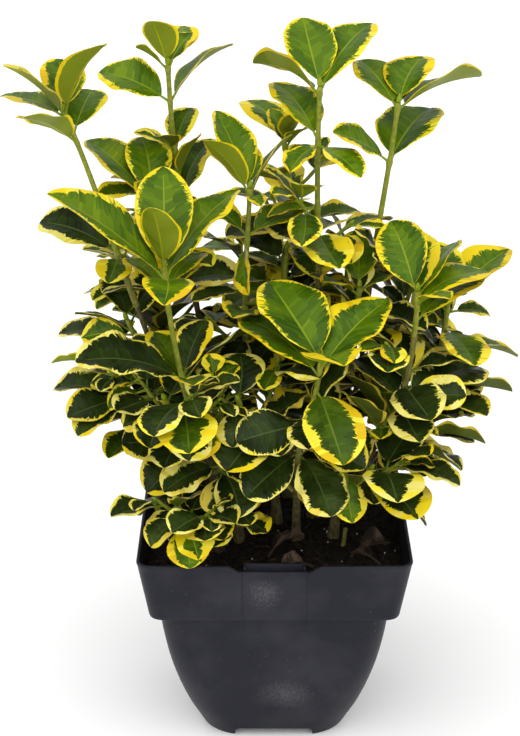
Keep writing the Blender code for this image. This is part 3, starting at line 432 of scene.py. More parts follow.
def leaf_axes(az, lift, roll):
    """Directions along, across and out of a leaf's upper face."""
    a = math.radians(az)
    e = math.radians(lift)
    along = Vector((math.cos(e) * math.cos(a), math.cos(e) * math.sin(a), math.sin(e)))
    up = Vector((-math.sin(e) * math.cos(a), -math.sin(e) * math.sin(a), math.cos(e)))
    turn = Matrix.Rotation(math.radians(roll), 3, along)
    up = turn @ up
    return along, along.cross(up), up


def leaf_line(u, curl):
    """Along and out of a leaf whose midrib arches evenly; its ends are at 0 and 1."""
    k = math.radians(curl)
    chord = 2.0 * math.sin(k / 2) / k
    along = (math.sin(k / 2) - math.sin(k * (0.5 - u))) / k / chord
    out = (math.cos(k * (0.5 - u)) - math.cos(k / 2)) / k / chord
    return along, out


def blade_width(t):
    """Share of the full width at a share t of the blade: a wedge foot, a round end."""
    t = min(max(t, 0.0), 1.0)
    return t**0.75 * (1.0 - t)**0.55 / 0.4125


def leaf_section(leaf, u, half, thick):
    """Left, upper middle, right and lower middle point of a leaf's section."""
    base, az, lift, roll, length, width, curl = leaf
    along, across, up = leaf_axes(az, lift, roll)
    x, z = leaf_line(u, curl)
    mid = base + along * (x * length) + up * (z * length)
    wing = up * (half * FOLD * 2)
    return (
        mid - across * half + wing,
        mid + up * thick * 0.5,
        mid + across * half + wing,
        mid - up * thick * 0.5,
    )


def closed_strip(sections, last_edge):
    """Vertices and faces of a body through four-sided sections, ending in an edge."""
    verts = [p for section in sections for p in section]
    faces = [(0, 1, 2), (0, 2, 3)]
    for i in range(len(sections) - 1):
        a = 4 * i
        for j in range(4):
            k = (j + 1) % 4
            faces.append((a + j, a + 4 + j, a + k))
            faces.append((a + k, a + 4 + j, a + 4 + k))
    left = len(verts)
    right = left + 1
    verts.extend(last_edge)
    a = 4 * (len(sections) - 1)
    faces.append((a, left, a + 1))
    faces.append((a + 1, left, right))
    faces.append((a + 1, right, a + 2))
    faces.append((a + 2, right, a + 3))
    faces.append((a + 3, right, left))
    faces.append((a + 3, left, a))
    return verts, faces


def leaf_body(leaf, spare=0.0):
    """A leaf as one closed body: an upright foot edge, two shoulders a side and a tip."""
    length, half_width = leaf[4], leaf[5] * 0.5
    petiole = PETIOLE / length
    foot = leaf_section(leaf, 0.3 / length, 0.0, 1.0)
    verts = [foot[1], foot[3]]
    for t in (0.27, 0.76):
        half = half_width * blade_width(t) * 1.05 + spare
        section = leaf_section(leaf, petiole + (1.0 - petiole) * t, half, 0.0)
        verts += [section[0], section[2]]
    verts.append(leaf_section(leaf, 1.01, 0.0, 0.0)[1])
    middle = leaf_section(leaf, 0.52, 0.0, 1.1 + 2 * spare)
    verts += [middle[1], middle[3]]
    upper, lower = 7, 8
    rim = (3, 5, 6, 4, 2)
    faces = [(upper, a, b) for a, b in zip(rim, rim[1:])]
    faces += [(lower, b, a) for a, b in zip(rim, rim[1:])]
    faces += [(upper, 2, 0), (upper, 0, 3), (lower, 1, 2), (lower, 3, 1), (0, 1, 3), (1, 0, 2)]
    return verts, faces


def leaf_shape(leaf, half_foot, thick, spare):
    """The leaf's blade in finer steps, as one closed body."""
    half_width = leaf[5] * 0.5
    petiole = PETIOLE / leaf[4]
    sections = [leaf_section(leaf, petiole, half_foot, thick)]
    for t in (0.22, 0.48, 0.72, 0.9):
        half = half_width * blade_width(t) + spare
        sections.append(leaf_section(leaf, petiole + (1.0 - petiole) * t, half, thick))
    end = leaf_section(leaf, 1.0, half_width * 0.3 + spare, 0.0)
    return closed_strip(sections, (end[0], end[2]))


def tube_body(points, radii, sides, face=None):
    """Vertices and faces of a closed tapering limb; face is where its lower end looks."""
    verts = []
    way = face or (points[1] - points[0]).normalized()
    ref = Vector((1, 0, 0)) if abs(way.x) < 0.8 else Vector((0, 1, 0))
    for i, at in enumerate(points):
        before = points[max(i - 1, 0)]
        after = points[min(i + 1, len(points) - 1)]
        way = (after - before).normalized()
        if i == 0 and face is not None:
            way = face
        ref = (ref - way * ref.dot(way)).normalized()
        other = way.cross(ref)
        for k in range(sides):
            a = 2 * math.pi * k / sides
            verts.append(at + (ref * math.cos(a) + other * math.sin(a)) * radii[i])
    faces = []
    for i in range(len(points) - 1):
        a = i * sides
        for k in range(sides):
            j = (k + 1) % sides
            faces.append((a + k, a + j, a + sides + j))
            faces.append((a + k, a + sides + j, a + sides + k))
    last = (len(points) - 1) * sides
    for k in range(1, sides - 1):
        faces.append((0, k + 1, k))
        faces.append((last, last + k, last + k + 1))
    return verts, faces


class Space:
    """What is already there, to keep new twigs and leaves clear of it."""

    def __init__(self):
        self.things = []

    def add(self, body, owner=None, plain=False):
        """A body of one shoot. A plain leaf is felt only by the other shoots."""
        verts, faces = body
        low = [min(v[i] for v in verts) for i in range(3)]
        high = [max(v[i] for v in verts) for i in range(3)]
        tree = BVHTree.FromPolygons(verts, faces)
        self.things.append((low, high, tree, owner, plain))

    def free(self, body, owner=None, plain=False):
        verts, faces = body
        low = [min(v[i] for v in verts) for i in range(3)]
        high = [max(v[i] for v in verts) for i in range(3)]
        tree = None
        for other_low, other_high, other, other_owner, other_plain in self.things:
            if owner is not None and owner == other_owner and (plain or other_plain):
                continue
            if any(low[i] > other_high[i] or high[i] < other_low[i] for i in range(3)):
                continue
            if tree is None:
                tree = BVHTree.FromPolygons(verts, faces)
            if tree.overlap(other):
                return False
        return True


def clear_of_pot(verts):
    """Above the soil inside the rim, above the rim, or outside the collar."""
    for v in verts:
        side = max(abs(v.x), abs(v.y))
        if side < RIM_HALF - 4.0:
            if v.z < SOIL_Z + 1.5:
                return False
        elif side < RIM_HALF + 2.5 and v.z < POT_H + 1.0:
            return False
        elif v.z < POT_H - COLLAR_H:
            return False
    return True


def place_leaf(space, rng, owner, wish, share, firm):
    """The first way that a leaf can stand without touching anything, or None."""
    base, az, lift, length, roll = wish
    width = length * share * rng.uniform(0.94, 1.08)
    curl = CURL * rng.uniform(0.6, 1.4)
    roll += rng.uniform(-5, 5) if firm else rng.uniform(-14, 14)
    for i in range(TRIES):
        swing = i * (1.2 if firm else 2.2)
        leaf = (
            base,
            az + rng.uniform(-swing, swing),
            lift + rng.uniform(-swing, swing) * 0.8,
            roll,
            length * (1.0 - 0.012 * i),
            width * (1.0 - 0.012 * i),
            curl,
        )
        feeler = leaf_shape(leaf, 1.0, 2.0, 0.4)
        if not (clear_of_pot(feeler[0]) and space.free(feeler, owner)):
            continue
        if space.free(leaf_body(leaf, 0.3), owner, True):
            space.add(leaf_shape(leaf, 0.8, 1.0, 0.0), owner)
            space.add(leaf_body(leaf), owner, True)
            return leaf
    return None


def rule_leaves(points, drops, turn, length, rng, first_rank=0):
    """Opposite pairs down a twig, each pair a quarter turn from the last."""
    total = path_lengths(points)[-1]
    wanted = []
    for rank, drop in enumerate(drops):
        if drop > total - 3.0:
            continue
        at, way = path_at(points, total - drop)
        ref = Vector((0, 0, 1)).cross(way)
        if ref.length < 0.05:
            ref = Vector((1, 0, 0))
        ref.normalize()
        other = way.cross(ref)
        age = min(rank + first_rank, len(SPREAD) - 1)
        for half in (0, 180):
            phi = math.radians(turn + 90 * rank + half + rng.uniform(-12, 12))
            off = math.radians(SPREAD[age] + rng.uniform(-7, 7))
            side = ref * math.cos(phi) + other * math.sin(phi)
            out = way * math.cos(off) + side * math.sin(off)
            az = math.degrees(math.atan2(out.y, out.x))
            lift = math.degrees(math.asin(max(-1.0, min(1.0, out.z))))
            lift = lift * 0.85 - DROOP[age] + rng.uniform(-4, 4)
            size = length * SIZE[age] * rng.uniform(0.92, 1.08)
            wanted.append((at, az, lift, size, 0.0))
    return wanted


def side_twig(space, rng, owner, at):
    """A short side twig from a point of a shoot's stem, where there is room for one."""
    for _ in range(6):
        a = rng.uniform(0, 2 * math.pi)
        out = Vector((math.cos(a), math.sin(a), rng.uniform(0.3, 0.7))).normalized()
        tip = at + out * SIDE_LEN * rng.uniform(0.8, 1.2) + Vector((0, 0, 5.0))
        points = curve_points(at, out, tip, Vector((out.x, out.y, 1.2)).normalized(), 2)
        ends = [at.lerp(tip, 0.25), points[1], tip]
        body = tube_body(ends, [r + 0.5 for r in SIDE_R], 4)
        if space.free(body) and clear_of_pot(body[0]):
            space.add(tube_body(points, [r + 0.4 for r in SIDE_R], 4), owner)
            return points, SIDE_R, None
    return None


def shoot_path(space, limb, share, tip, lean):
    """A shoot's stem from its limb to its tip, bowed aside where another is in its way."""
    for i in range(24):
        part = share
        if share < 1.0:
            part = min(0.96, max(0.1, share + 0.012 * i * (-1) ** i))
        start, way, face = limb_start(limb, part, tip)
        bow = Vector((math.cos(2.4 * i), math.sin(2.4 * i), 0)) * (1.2 * i)
        points = curve_points(start, way, tip, lean_vector(lean), 5, bow)
        felt = [points[0].lerp(points[1], 0.35)] + points[1:]
        if space.free(tube_body(felt, [r + 0.6 for r in TWIG_R], 5)):
            return points, face
    return points, face


def grow():
    """Limbs, and for each shoot its twigs and leaves, none touching another."""
    limbs = make_limbs()
    space = Space()
    for points, radii, face in limbs.values():
        space.add(tube_body(points, [r + 0.5 for r in radii], 6, face))
    plants = {}
    for name, (parent, share, tip, lean, *rest) in SHOOTS.items():
        points, face = shoot_path(space, limbs[parent], share, Vector(tip), lean)
        plants[name] = {"twigs": [(points, TWIG_R, face)], "leaves": [], "ages": [], "set": []}
        space.add(tube_body(points, [r + 0.4 for r in TWIG_R], 5, face), name)
    for index, name in enumerate(SHOOTS):
        rng = random.Random(SEED * 1000 + index)
        points = plants[name]["twigs"][0][0]
        total = path_lengths(points)[-1]
        for drop, az, lift, length, roll in TIP_LEAVES.get(name, ()):
            wish = (path_at(points, total - drop)[0], az, lift, length, roll)
            leaf = place_leaf(space, rng, name, wish, SHOOTS[name][-1], True)
            if leaf:
                plants[name]["leaves"].append(leaf)
                plants[name]["ages"].append(leaf_age(name, leaf, drop, random.Random(index)))
                plants[name]["set"].append(az)
    for index, name in enumerate(SHOOTS):
        rng = random.Random(SEED * 2000 + index)
        turn, drops, side_drops, length, share = SHOOTS[name][4:]
        points = plants[name]["twigs"][0][0]
        total = path_lengths(points)[-1]
        wishes = []
        for drop in side_drops:
            twig = side_twig(space, rng, name, path_at(points, total - drop)[0])
            if twig:
                plants[name]["twigs"].append(twig)
                turn2 = rng.uniform(0, 90)
                wishes += rule_leaves(twig[0], SIDE_DROPS, turn2, length * 0.72, rng)
        for wish in rule_leaves(points, drops, turn, length, rng) + wishes:
            leaf = place_leaf(space, rng, name, wish, share, False)
            if leaf:
                plants[name]["leaves"].append(leaf)
                age = leaf_age(name, leaf, None, random.Random(len(plants[name]["leaves"])))
                plants[name]["ages"].append(age)
                plants[name]["set"].append(None)
    grow_fill(space, plants)
    settle_leaves(space, plants)
    return limbs, plants


def loft(rings):
    """A closed body through rings of equal count, with flat ends, facing out."""
    count = len(rings[0])
    verts = [p for ring in rings for p in ring]
    faces = []
    for i in range(len(rings) - 1):
        a = i * count
        for k in range(count):
            j = (k + 1) % count
            faces.append((a + k, a + j, a + count + j, a + count + k))
    faces.append(tuple(reversed(range(count))))
    last = (len(rings) - 1) * count
    faces.append(tuple(last + k for k in range(count)))
    return verts, faces


def bowl_at(z):
    """Half width and corner radius of the bowl's outside at a height."""
    for (z0, h0, r0), (z1, h1, r1) in zip(BOWL, BOWL[1:]):
        if z0 <= z <= z1:
            t = (z - z0) / (z1 - z0)
            return h0 + (h1 - h0) * t, r0 + (r1 - r0) * t
    return BOWL[-1][1:]


def collar_half(z):
    """Half width of the collar's outside at a height."""
    (z0, h0, _), (z1, h1, _) = COLLAR[2:4]
    return h0 + (h1 - h0) * (z - z0) / (z1 - z0)


def notch_outline():
    arch = [(-NOTCH_HALF, -2.0)]
    for i in range(NOTCH_STEPS + 1):
        a = math.pi / 2 * i / NOTCH_STEPS
        x = -NOTCH_HALF + NOTCH_ROUND[0] * (1 - math.cos(a))
        arch.append((x, NOTCH_H - NOTCH_ROUND[1] * (1 - math.sin(a))))
    return arch + [(-x, z) for x, z in reversed(arch)]


def dip_outline():
    """The dip in the rim: eased shoulders down to a level floor."""
    dip = [(-DIP_TOP - 0.5, POT_H + 3.0)]
    for i in range(DIP_STEPS + 1):
        t = i / DIP_STEPS
        ease = t * t * (3 - 2 * t)
        dip.append((-DIP_TOP + (DIP_TOP - DIP_FLAT) * t, POT_H + 0.08 * (1 - t) - DIP_DEPTH * ease))
    return dip + [(-x, z) for x, z in reversed(dip)]


# Ages of leaves: 0 young and bright, 1 full grown, 2 old and dark
YOUNG, GROWN, OLD = range(3)
# Shoots that end below this height carry old leaves at their tips too
LOW_TIP = 262.0
# Leaves that differ from the rest of their shoot: how far each sits below the tip
OLD_TIPS = {
    "shoot_front": (44, 55, 65, 66),
    "shoot_front_left": (72, 73),
    "shoot_side_left": (3, 4, 10, 11),
    "shoot_far_left": (93, 98),
    "shoot_back_left": (52,),
}
FRESH_TIPS = {
    "shoot_hanging_left": (1, 3),
    "shoot_front_mid": (3,),
    "shoot_side_left": (12,),
    "shoot_low_mid": (3,),
    "shoot_dark_left": (2,),
}
GROWN_TIPS = {"shoot_front": (19,)}
# Greens of each age from the deepest to the palest; each leaf's own middle is one of the inner ones
GREENS = {
    YOUNG: ("fresh_1", "fresh_2", "fresh_3", "fresh_4", "fresh_5", "fresh_6"),
    GROWN: ("green_1", "green_2", "green_3", "green_4", "green_5", "green_6"),
    OLD: ("dark_1", "dark_2", "dark_3", "dark_4", "dark_5", "dark_6"),
}
MARGINS = {
    YOUNG: (("margin_yellow", "margin_gold"), ("margin_yellow", "margin_lemon")),
    GROWN: (("margin_yellow", "margin_lemon"), ("margin_lemon", "margin_gold")),
    OLD: (("margin_cream", "margin_straw"), ("margin_cream", "margin_lemon"),
          ("margin_straw", "margin_yellow")),
}
RIBS = {YOUNG: "rib_fresh", GROWN: "rib_green", OLD: "rib_dark"}
UNDERS = {
    YOUNG: ("under_deep", "under_fresh", "under_pale", "under_margin"),
    GROWN: ("under_dark", "under_deep", "under_fresh", "under_margin"),
    OLD: ("under_dusk", "under_dark", "under_dark", "under_margin_old"),
}
DEAD = ("dead_dark", "dead_brown", "dead_tan")
RIBS_UNDER = {YOUNG: "margin_lime", GROWN: "margin_lime", OLD: "under_pale"}
PETIOLES = {YOUNG: "rib_fresh", GROWN: "rib_fresh", OLD: "rib_green"}

# base colour, roughness, strength of the fine bump
LEAF_FINISHES = {
    "fresh_1": ((0.0284, 0.0706, 0.0012), 0.33, 0.10),
    "fresh_2": ((0.0469, 0.1008, 0.0014), 0.34, 0.10),
    "fresh_3": ((0.0682, 0.1336, 0.0016), 0.34, 0.10),
    "fresh_4": ((0.0966, 0.1688, 0.0020), 0.35, 0.10),
    "fresh_5": ((0.1363, 0.2092, 0.0030), 0.36, 0.12),
    "fresh_6": ((0.1960, 0.2583, 0.0060), 0.37, 0.12),
    "green_1": ((0.0156, 0.0348, 0.0018), 0.32, 0.10),
    "green_2": ((0.0247, 0.0528, 0.0018), 0.33, 0.10),
    "green_3": ((0.0377, 0.0756, 0.0020), 0.33, 0.10),
    "green_4": ((0.0559, 0.1020, 0.0028), 0.34, 0.10),
    "green_5": ((0.0780, 0.1308, 0.0045), 0.35, 0.12),
    "green_6": ((0.1118, 0.1704, 0.0080), 0.36, 0.12),
    "dark_1": ((0.0069, 0.0133, 0.0029), 0.31, 0.10),
    "dark_2": ((0.0110, 0.0201, 0.0034), 0.32, 0.10),
    "dark_3": ((0.0162, 0.0292, 0.0042), 0.32, 0.10),
    "dark_4": ((0.0235, 0.0408, 0.0053), 0.33, 0.10),
    "dark_5": ((0.0347, 0.0567, 0.0076), 0.34, 0.12),
    "dark_6": ((0.0526, 0.0806, 0.0123), 0.35, 0.12),
    "margin_yellow": ((0.7296, 0.5600, 0.0080), 0.40, 0.10),
    "margin_gold": ((0.6384, 0.4312, 0.0060), 0.40, 0.10),
    "margin_lemon": ((0.7752, 0.6552, 0.0400), 0.40, 0.10),
    "margin_lime": ((0.3420, 0.3584, 0.0060), 0.40, 0.10),
    "margin_olive": ((0.1767, 0.2128, 0.0050), 0.40, 0.10),
    "margin_cream": ((0.7866, 0.7000, 0.1650), 0.42, 0.10),
    "margin_straw": ((0.7182, 0.5712, 0.0650), 0.44, 0.10),
    "rib_fresh": ((0.185, 0.255, 0.014), 0.40, 0.06),
    "rib_green": ((0.105, 0.160, 0.014), 0.40, 0.06),
    "rib_dark": ((0.058, 0.086, 0.020), 0.40, 0.06),
    "under_pale": ((0.2415, 0.2830, 0.0140), 0.52, 0.20),
    "under_fresh": ((0.1873, 0.2322, 0.0120), 0.52, 0.20),
    "under_deep": ((0.1399, 0.1858, 0.0120), 0.52, 0.20),
    "under_dark": ((0.0788, 0.1058, 0.0110), 0.52, 0.20),
    "under_dusk": ((0.0493, 0.0699, 0.0110), 0.52, 0.20),
    "under_margin": ((0.7392, 0.5616, 0.0070), 0.50, 0.16),
    "under_margin_old": ((0.6720, 0.5184, 0.0500), 0.52, 0.16),
    "bud_green": ((0.200, 0.260, 0.012), 0.40, 0.06),
    "dead_brown": ((0.036, 0.023, 0.015), 0.75, 0.50),
    "dead_tan": ((0.080, 0.052, 0.037), 0.75, 0.50),
    "dead_dark": ((0.015, 0.0095, 0.0065), 0.80, 0.50),
}

# Where the rule's outward leaves are let down: below this height, to the first of these lifts
SETTLED_BELOW = 345.0
SETTLED = (-8.0, -16.0, -25.0, 0.0, -34.0, -44.0)
AXIS = Vector((0.0, 0.0))
NEAR_AXIS = 45.0
SPILL = 6.0
STEEP = 34.0

# Least length of a blade, its rows and its side veins
BLADE_ROWS = ((44.0, 40, 7), (34.0, 30, 6), (0.0, 21, 5))
VEIN_SLANT = 0.28
RIB_SHARE = 0.045
LEAF_THICK = 0.5
PETIOLE_R = 0.85
MARGIN_WIDTH = {YOUNG: (0.16, 0.38), GROWN: (0.16, 0.38), OLD: (0.09, 0.26)}
WIDE_SIDE = 0.38
WIDER = 1.95
TIP_MARGIN = {YOUNG: 0.52, GROWN: 0.56, OLD: 0.50}
# The blade's outline: how it widens from the petiole and narrows to the tip, and its fullness
OUTLINE = {YOUNG: (0.78, 0.72, 1.10), GROWN: (0.74, 0.56, 1.14), OLD: (0.70, 0.49, 1.15)}
STREAKS_IN = {YOUNG: 0.30, GROWN: 0.30, OLD: 0.24}
STREAKS_OUT = {YOUNG: 0.22, GROWN: 0.22, OLD: 0.16}
# Shares of the border's patches that pass to the margin, to lime and to olive
PASSING = {YOUNG: (0.24, 0.50, 0.76), GROWN: (0.24, 0.46, 0.74), OLD: (0.26, 0.36, 0.56)}
FEATHER = {YOUNG: 0.30, GROWN: 0.26, OLD: 0.12}
# Margins of single leaves by the direction they are set in: left and right of the midrib
MARGIN_OF = {
    "shoot_front": {123: (0.20, 0.08), 40: (0.34, 0.12), 136: (0.13, 0.10), 290: (0.30, 0.32),
                    200: (0.06, 0.07), 216: (0.06, 0.07), 330: (0.10, 0.14), 300: (0.12, 0.26)},
    "shoot_front_left": {93: (0.13, 0.15), 186: (0.12, 0.18), 46: (0.14, 0.22),
                         199: (0.07, 0.12), 280: (0.30, 0.34)},
    "shoot_tall_left": {154: (0.26, 0.10), 36: (0.12, 0.30)},
    "shoot_tall_middle": {104: (0.13, 0.10), 50: (0.10, 0.30), 121: (0.24, 0.16),
                          308: (0.16, 0.38)},
    "shoot_tall_right": {95: (0.14, 0.14), 122: (0.20, 0.10), 58: (0.10, 0.22),
                         200: (0.30, 0.12)},
    "shoot_middle": {122: (0.14, 0.12), 92: (0.22, 0.20), 43: (0.15, 0.16)},
    "shoot_far_left": {101: (0.28, 0.18), 78: (0.14, 0.24)},
    "shoot_left_rear": {92: (0.13, 0.15), 143: (0.17, 0.12), 48: (0.12, 0.15)},
    "shoot_right_front": {112: (0.18, 0.08), 61: (0.10, 0.12), 33: (0.22, 0.34),
                          43: (0.10, 0.30)},
    "shoot_right": {37: (0.40, 0.34), 99: (0.22, 0.20)},
    "shoot_inner_right": {92: (0.20, 0.22)},
    "shoot_hanging_left": {284: (0.26, 0.34)},
}
# Shoots whose leaves are slimmer than the rest
SLENDER = {"shoot_middle": 0.84, "shoot_tall_middle": 0.90, "shoot_tall_left": 0.94,
           "shoot_front_left": 0.94}


def eased(x):
    x = np.clip(x, 0.0, 1.0)
    return x * x * (3.0 - 2.0 * x)


def blade_widths(t, age):
    """Half widths of a blade from petiole to tip, as shares of the widest."""
    t = np.clip(t, 0.0, 1.0)
    rise, fall, full = OUTLINE[age]
    widest = rise / (rise + fall)
    return full * t**rise * (1.0 - t)**fall / (widest**rise * (1.0 - widest)**fall)


def leaf_lines(u, curl):
    k = math.radians(curl)
    chord = 2.0 * math.sin(k / 2) / k
    along = (math.sin(k / 2) - np.sin(k * (0.5 - u))) / k / chord
    out = (np.cos(k * (0.5 - u)) - math.cos(k / 2)) / k / chord
    return along, out


class Sheaf:
    """Vertices, faces and finishes of many small things that become one mesh."""

    def __init__(self):
        self.verts = []
        self.faces = []
        self.finishes = []
        self.count = 0
        self.triangles = 0

    def add(self, verts, faces, finishes):
        self.verts.append(np.asarray(verts, dtype=float))
        self.faces += [tuple(i + self.count for i in face) for face in faces]
        self.finishes += finishes
        self.count += len(verts)
        self.triangles += sum(len(face) - 2 for face in faces)

    def parts(self):
        """The groups of faces as they were added, each with its own vertices."""
        start = 0
        for verts in self.verts:
            own = [k for k, face in enumerate(self.faces) if start <= face[0] < start + len(verts)]
            faces = [tuple(i - start for i in self.faces[k]) for k in own]
            yield verts, faces, [self.finishes[k] for k in own]
            start += len(verts)

    def mesh_object(self, name, materials, sharp=42):
        used = sorted(set(self.finishes))
        mesh = bpy.data.meshes.new(name)
        verts = (np.concatenate(self.verts) + np.array(SHIFT)) * MM
        mesh.from_pydata(verts.tolist(), [], self.faces)
        for finish in used:
            mesh.materials.append(materials[finish])
        place = {finish: i for i, finish in enumerate(used)}
        mesh.polygons.foreach_set("material_index", [place[f] for f in self.finishes])
        mesh.shade_smooth()
        mesh.set_sharp_from_angle(angle=math.radians(sharp))
        mesh.update()
        obj = bpy.data.objects.new(name, mesh)
        bpy.context.scene.collection.objects.link(obj)
        return obj


def margin_border(t, rng, age, known):
    """Share of the half width where the green ends, along one side of a blade."""
    width = rng.uniform(*MARGIN_WIDTH[age])
    if rng.random() < WIDE_SIDE:
        width *= WIDER
    width = known or width
    wave = rng.uniform(0.0, 6.28)
    slow = 0.98 + 0.30 * np.sin(wave + 5.0 * t) + 0.20 * np.sin(2.3 * wave + 11.0 * t)
    border = 1.0 - width * slow * (0.35 + 0.65 * eased(t / 0.35))
    border -= eased((t - 0.70) / 0.30) * rng.uniform(0.10, TIP_MARGIN[age])
    for i in range(2, len(t) - 1):
        border[i] += rng.uniform(-0.015, 0.015)
        if rng.random() < STREAKS_IN[age]:
            border[i] -= rng.uniform(0.02, 0.085) * (0.5 + t[i])
        elif rng.random() < STREAKS_OUT[age]:
            border[i] += rng.uniform(0.02, 0.065)
    return np.clip(border, 0.14, 0.95)


class Blotches:
    """The tones of one leaf: slow patches, paler veins and a deeper band before the margin."""

    def __init__(self, rng, length, veins, tones):
        self.rng = rng
        self.at = rng.uniform(0.0, 400.0)
        self.length = length
        self.veins = veins
        self.tones = tones
        self.middle = rng.uniform(1.5, 2.8)
        self.near = rng.uniform(-0.1, 0.6)
        self.far = rng.uniform(0.4, 1.2)

    def patch(self, u, f, size):
        at = Vector((u * self.length / size, f * self.length * 0.3 / size, self.at))
        return noise.noise(at)

    def tone(self, u, f, share):
        """The green at a place: share counts from the midrib to where the green ends."""
        value = self.middle + 2.3 * self.patch(u, f, 15.0) + 0.9 * self.patch(u, f, 5.0)
        value += self.near * (1.0 - share) - self.far * max(0.0, share - 0.55) / 0.45
        step = (u - 0.10 * abs(f)) * self.veins
        if abs(step - round(step)) < 0.11 and share < 0.8:
            value += 0.7
        value += self.rng.uniform(-0.12, 0.12)
        return self.tones[min(max(int(round(value)), 0), len(self.tones) - 1)]


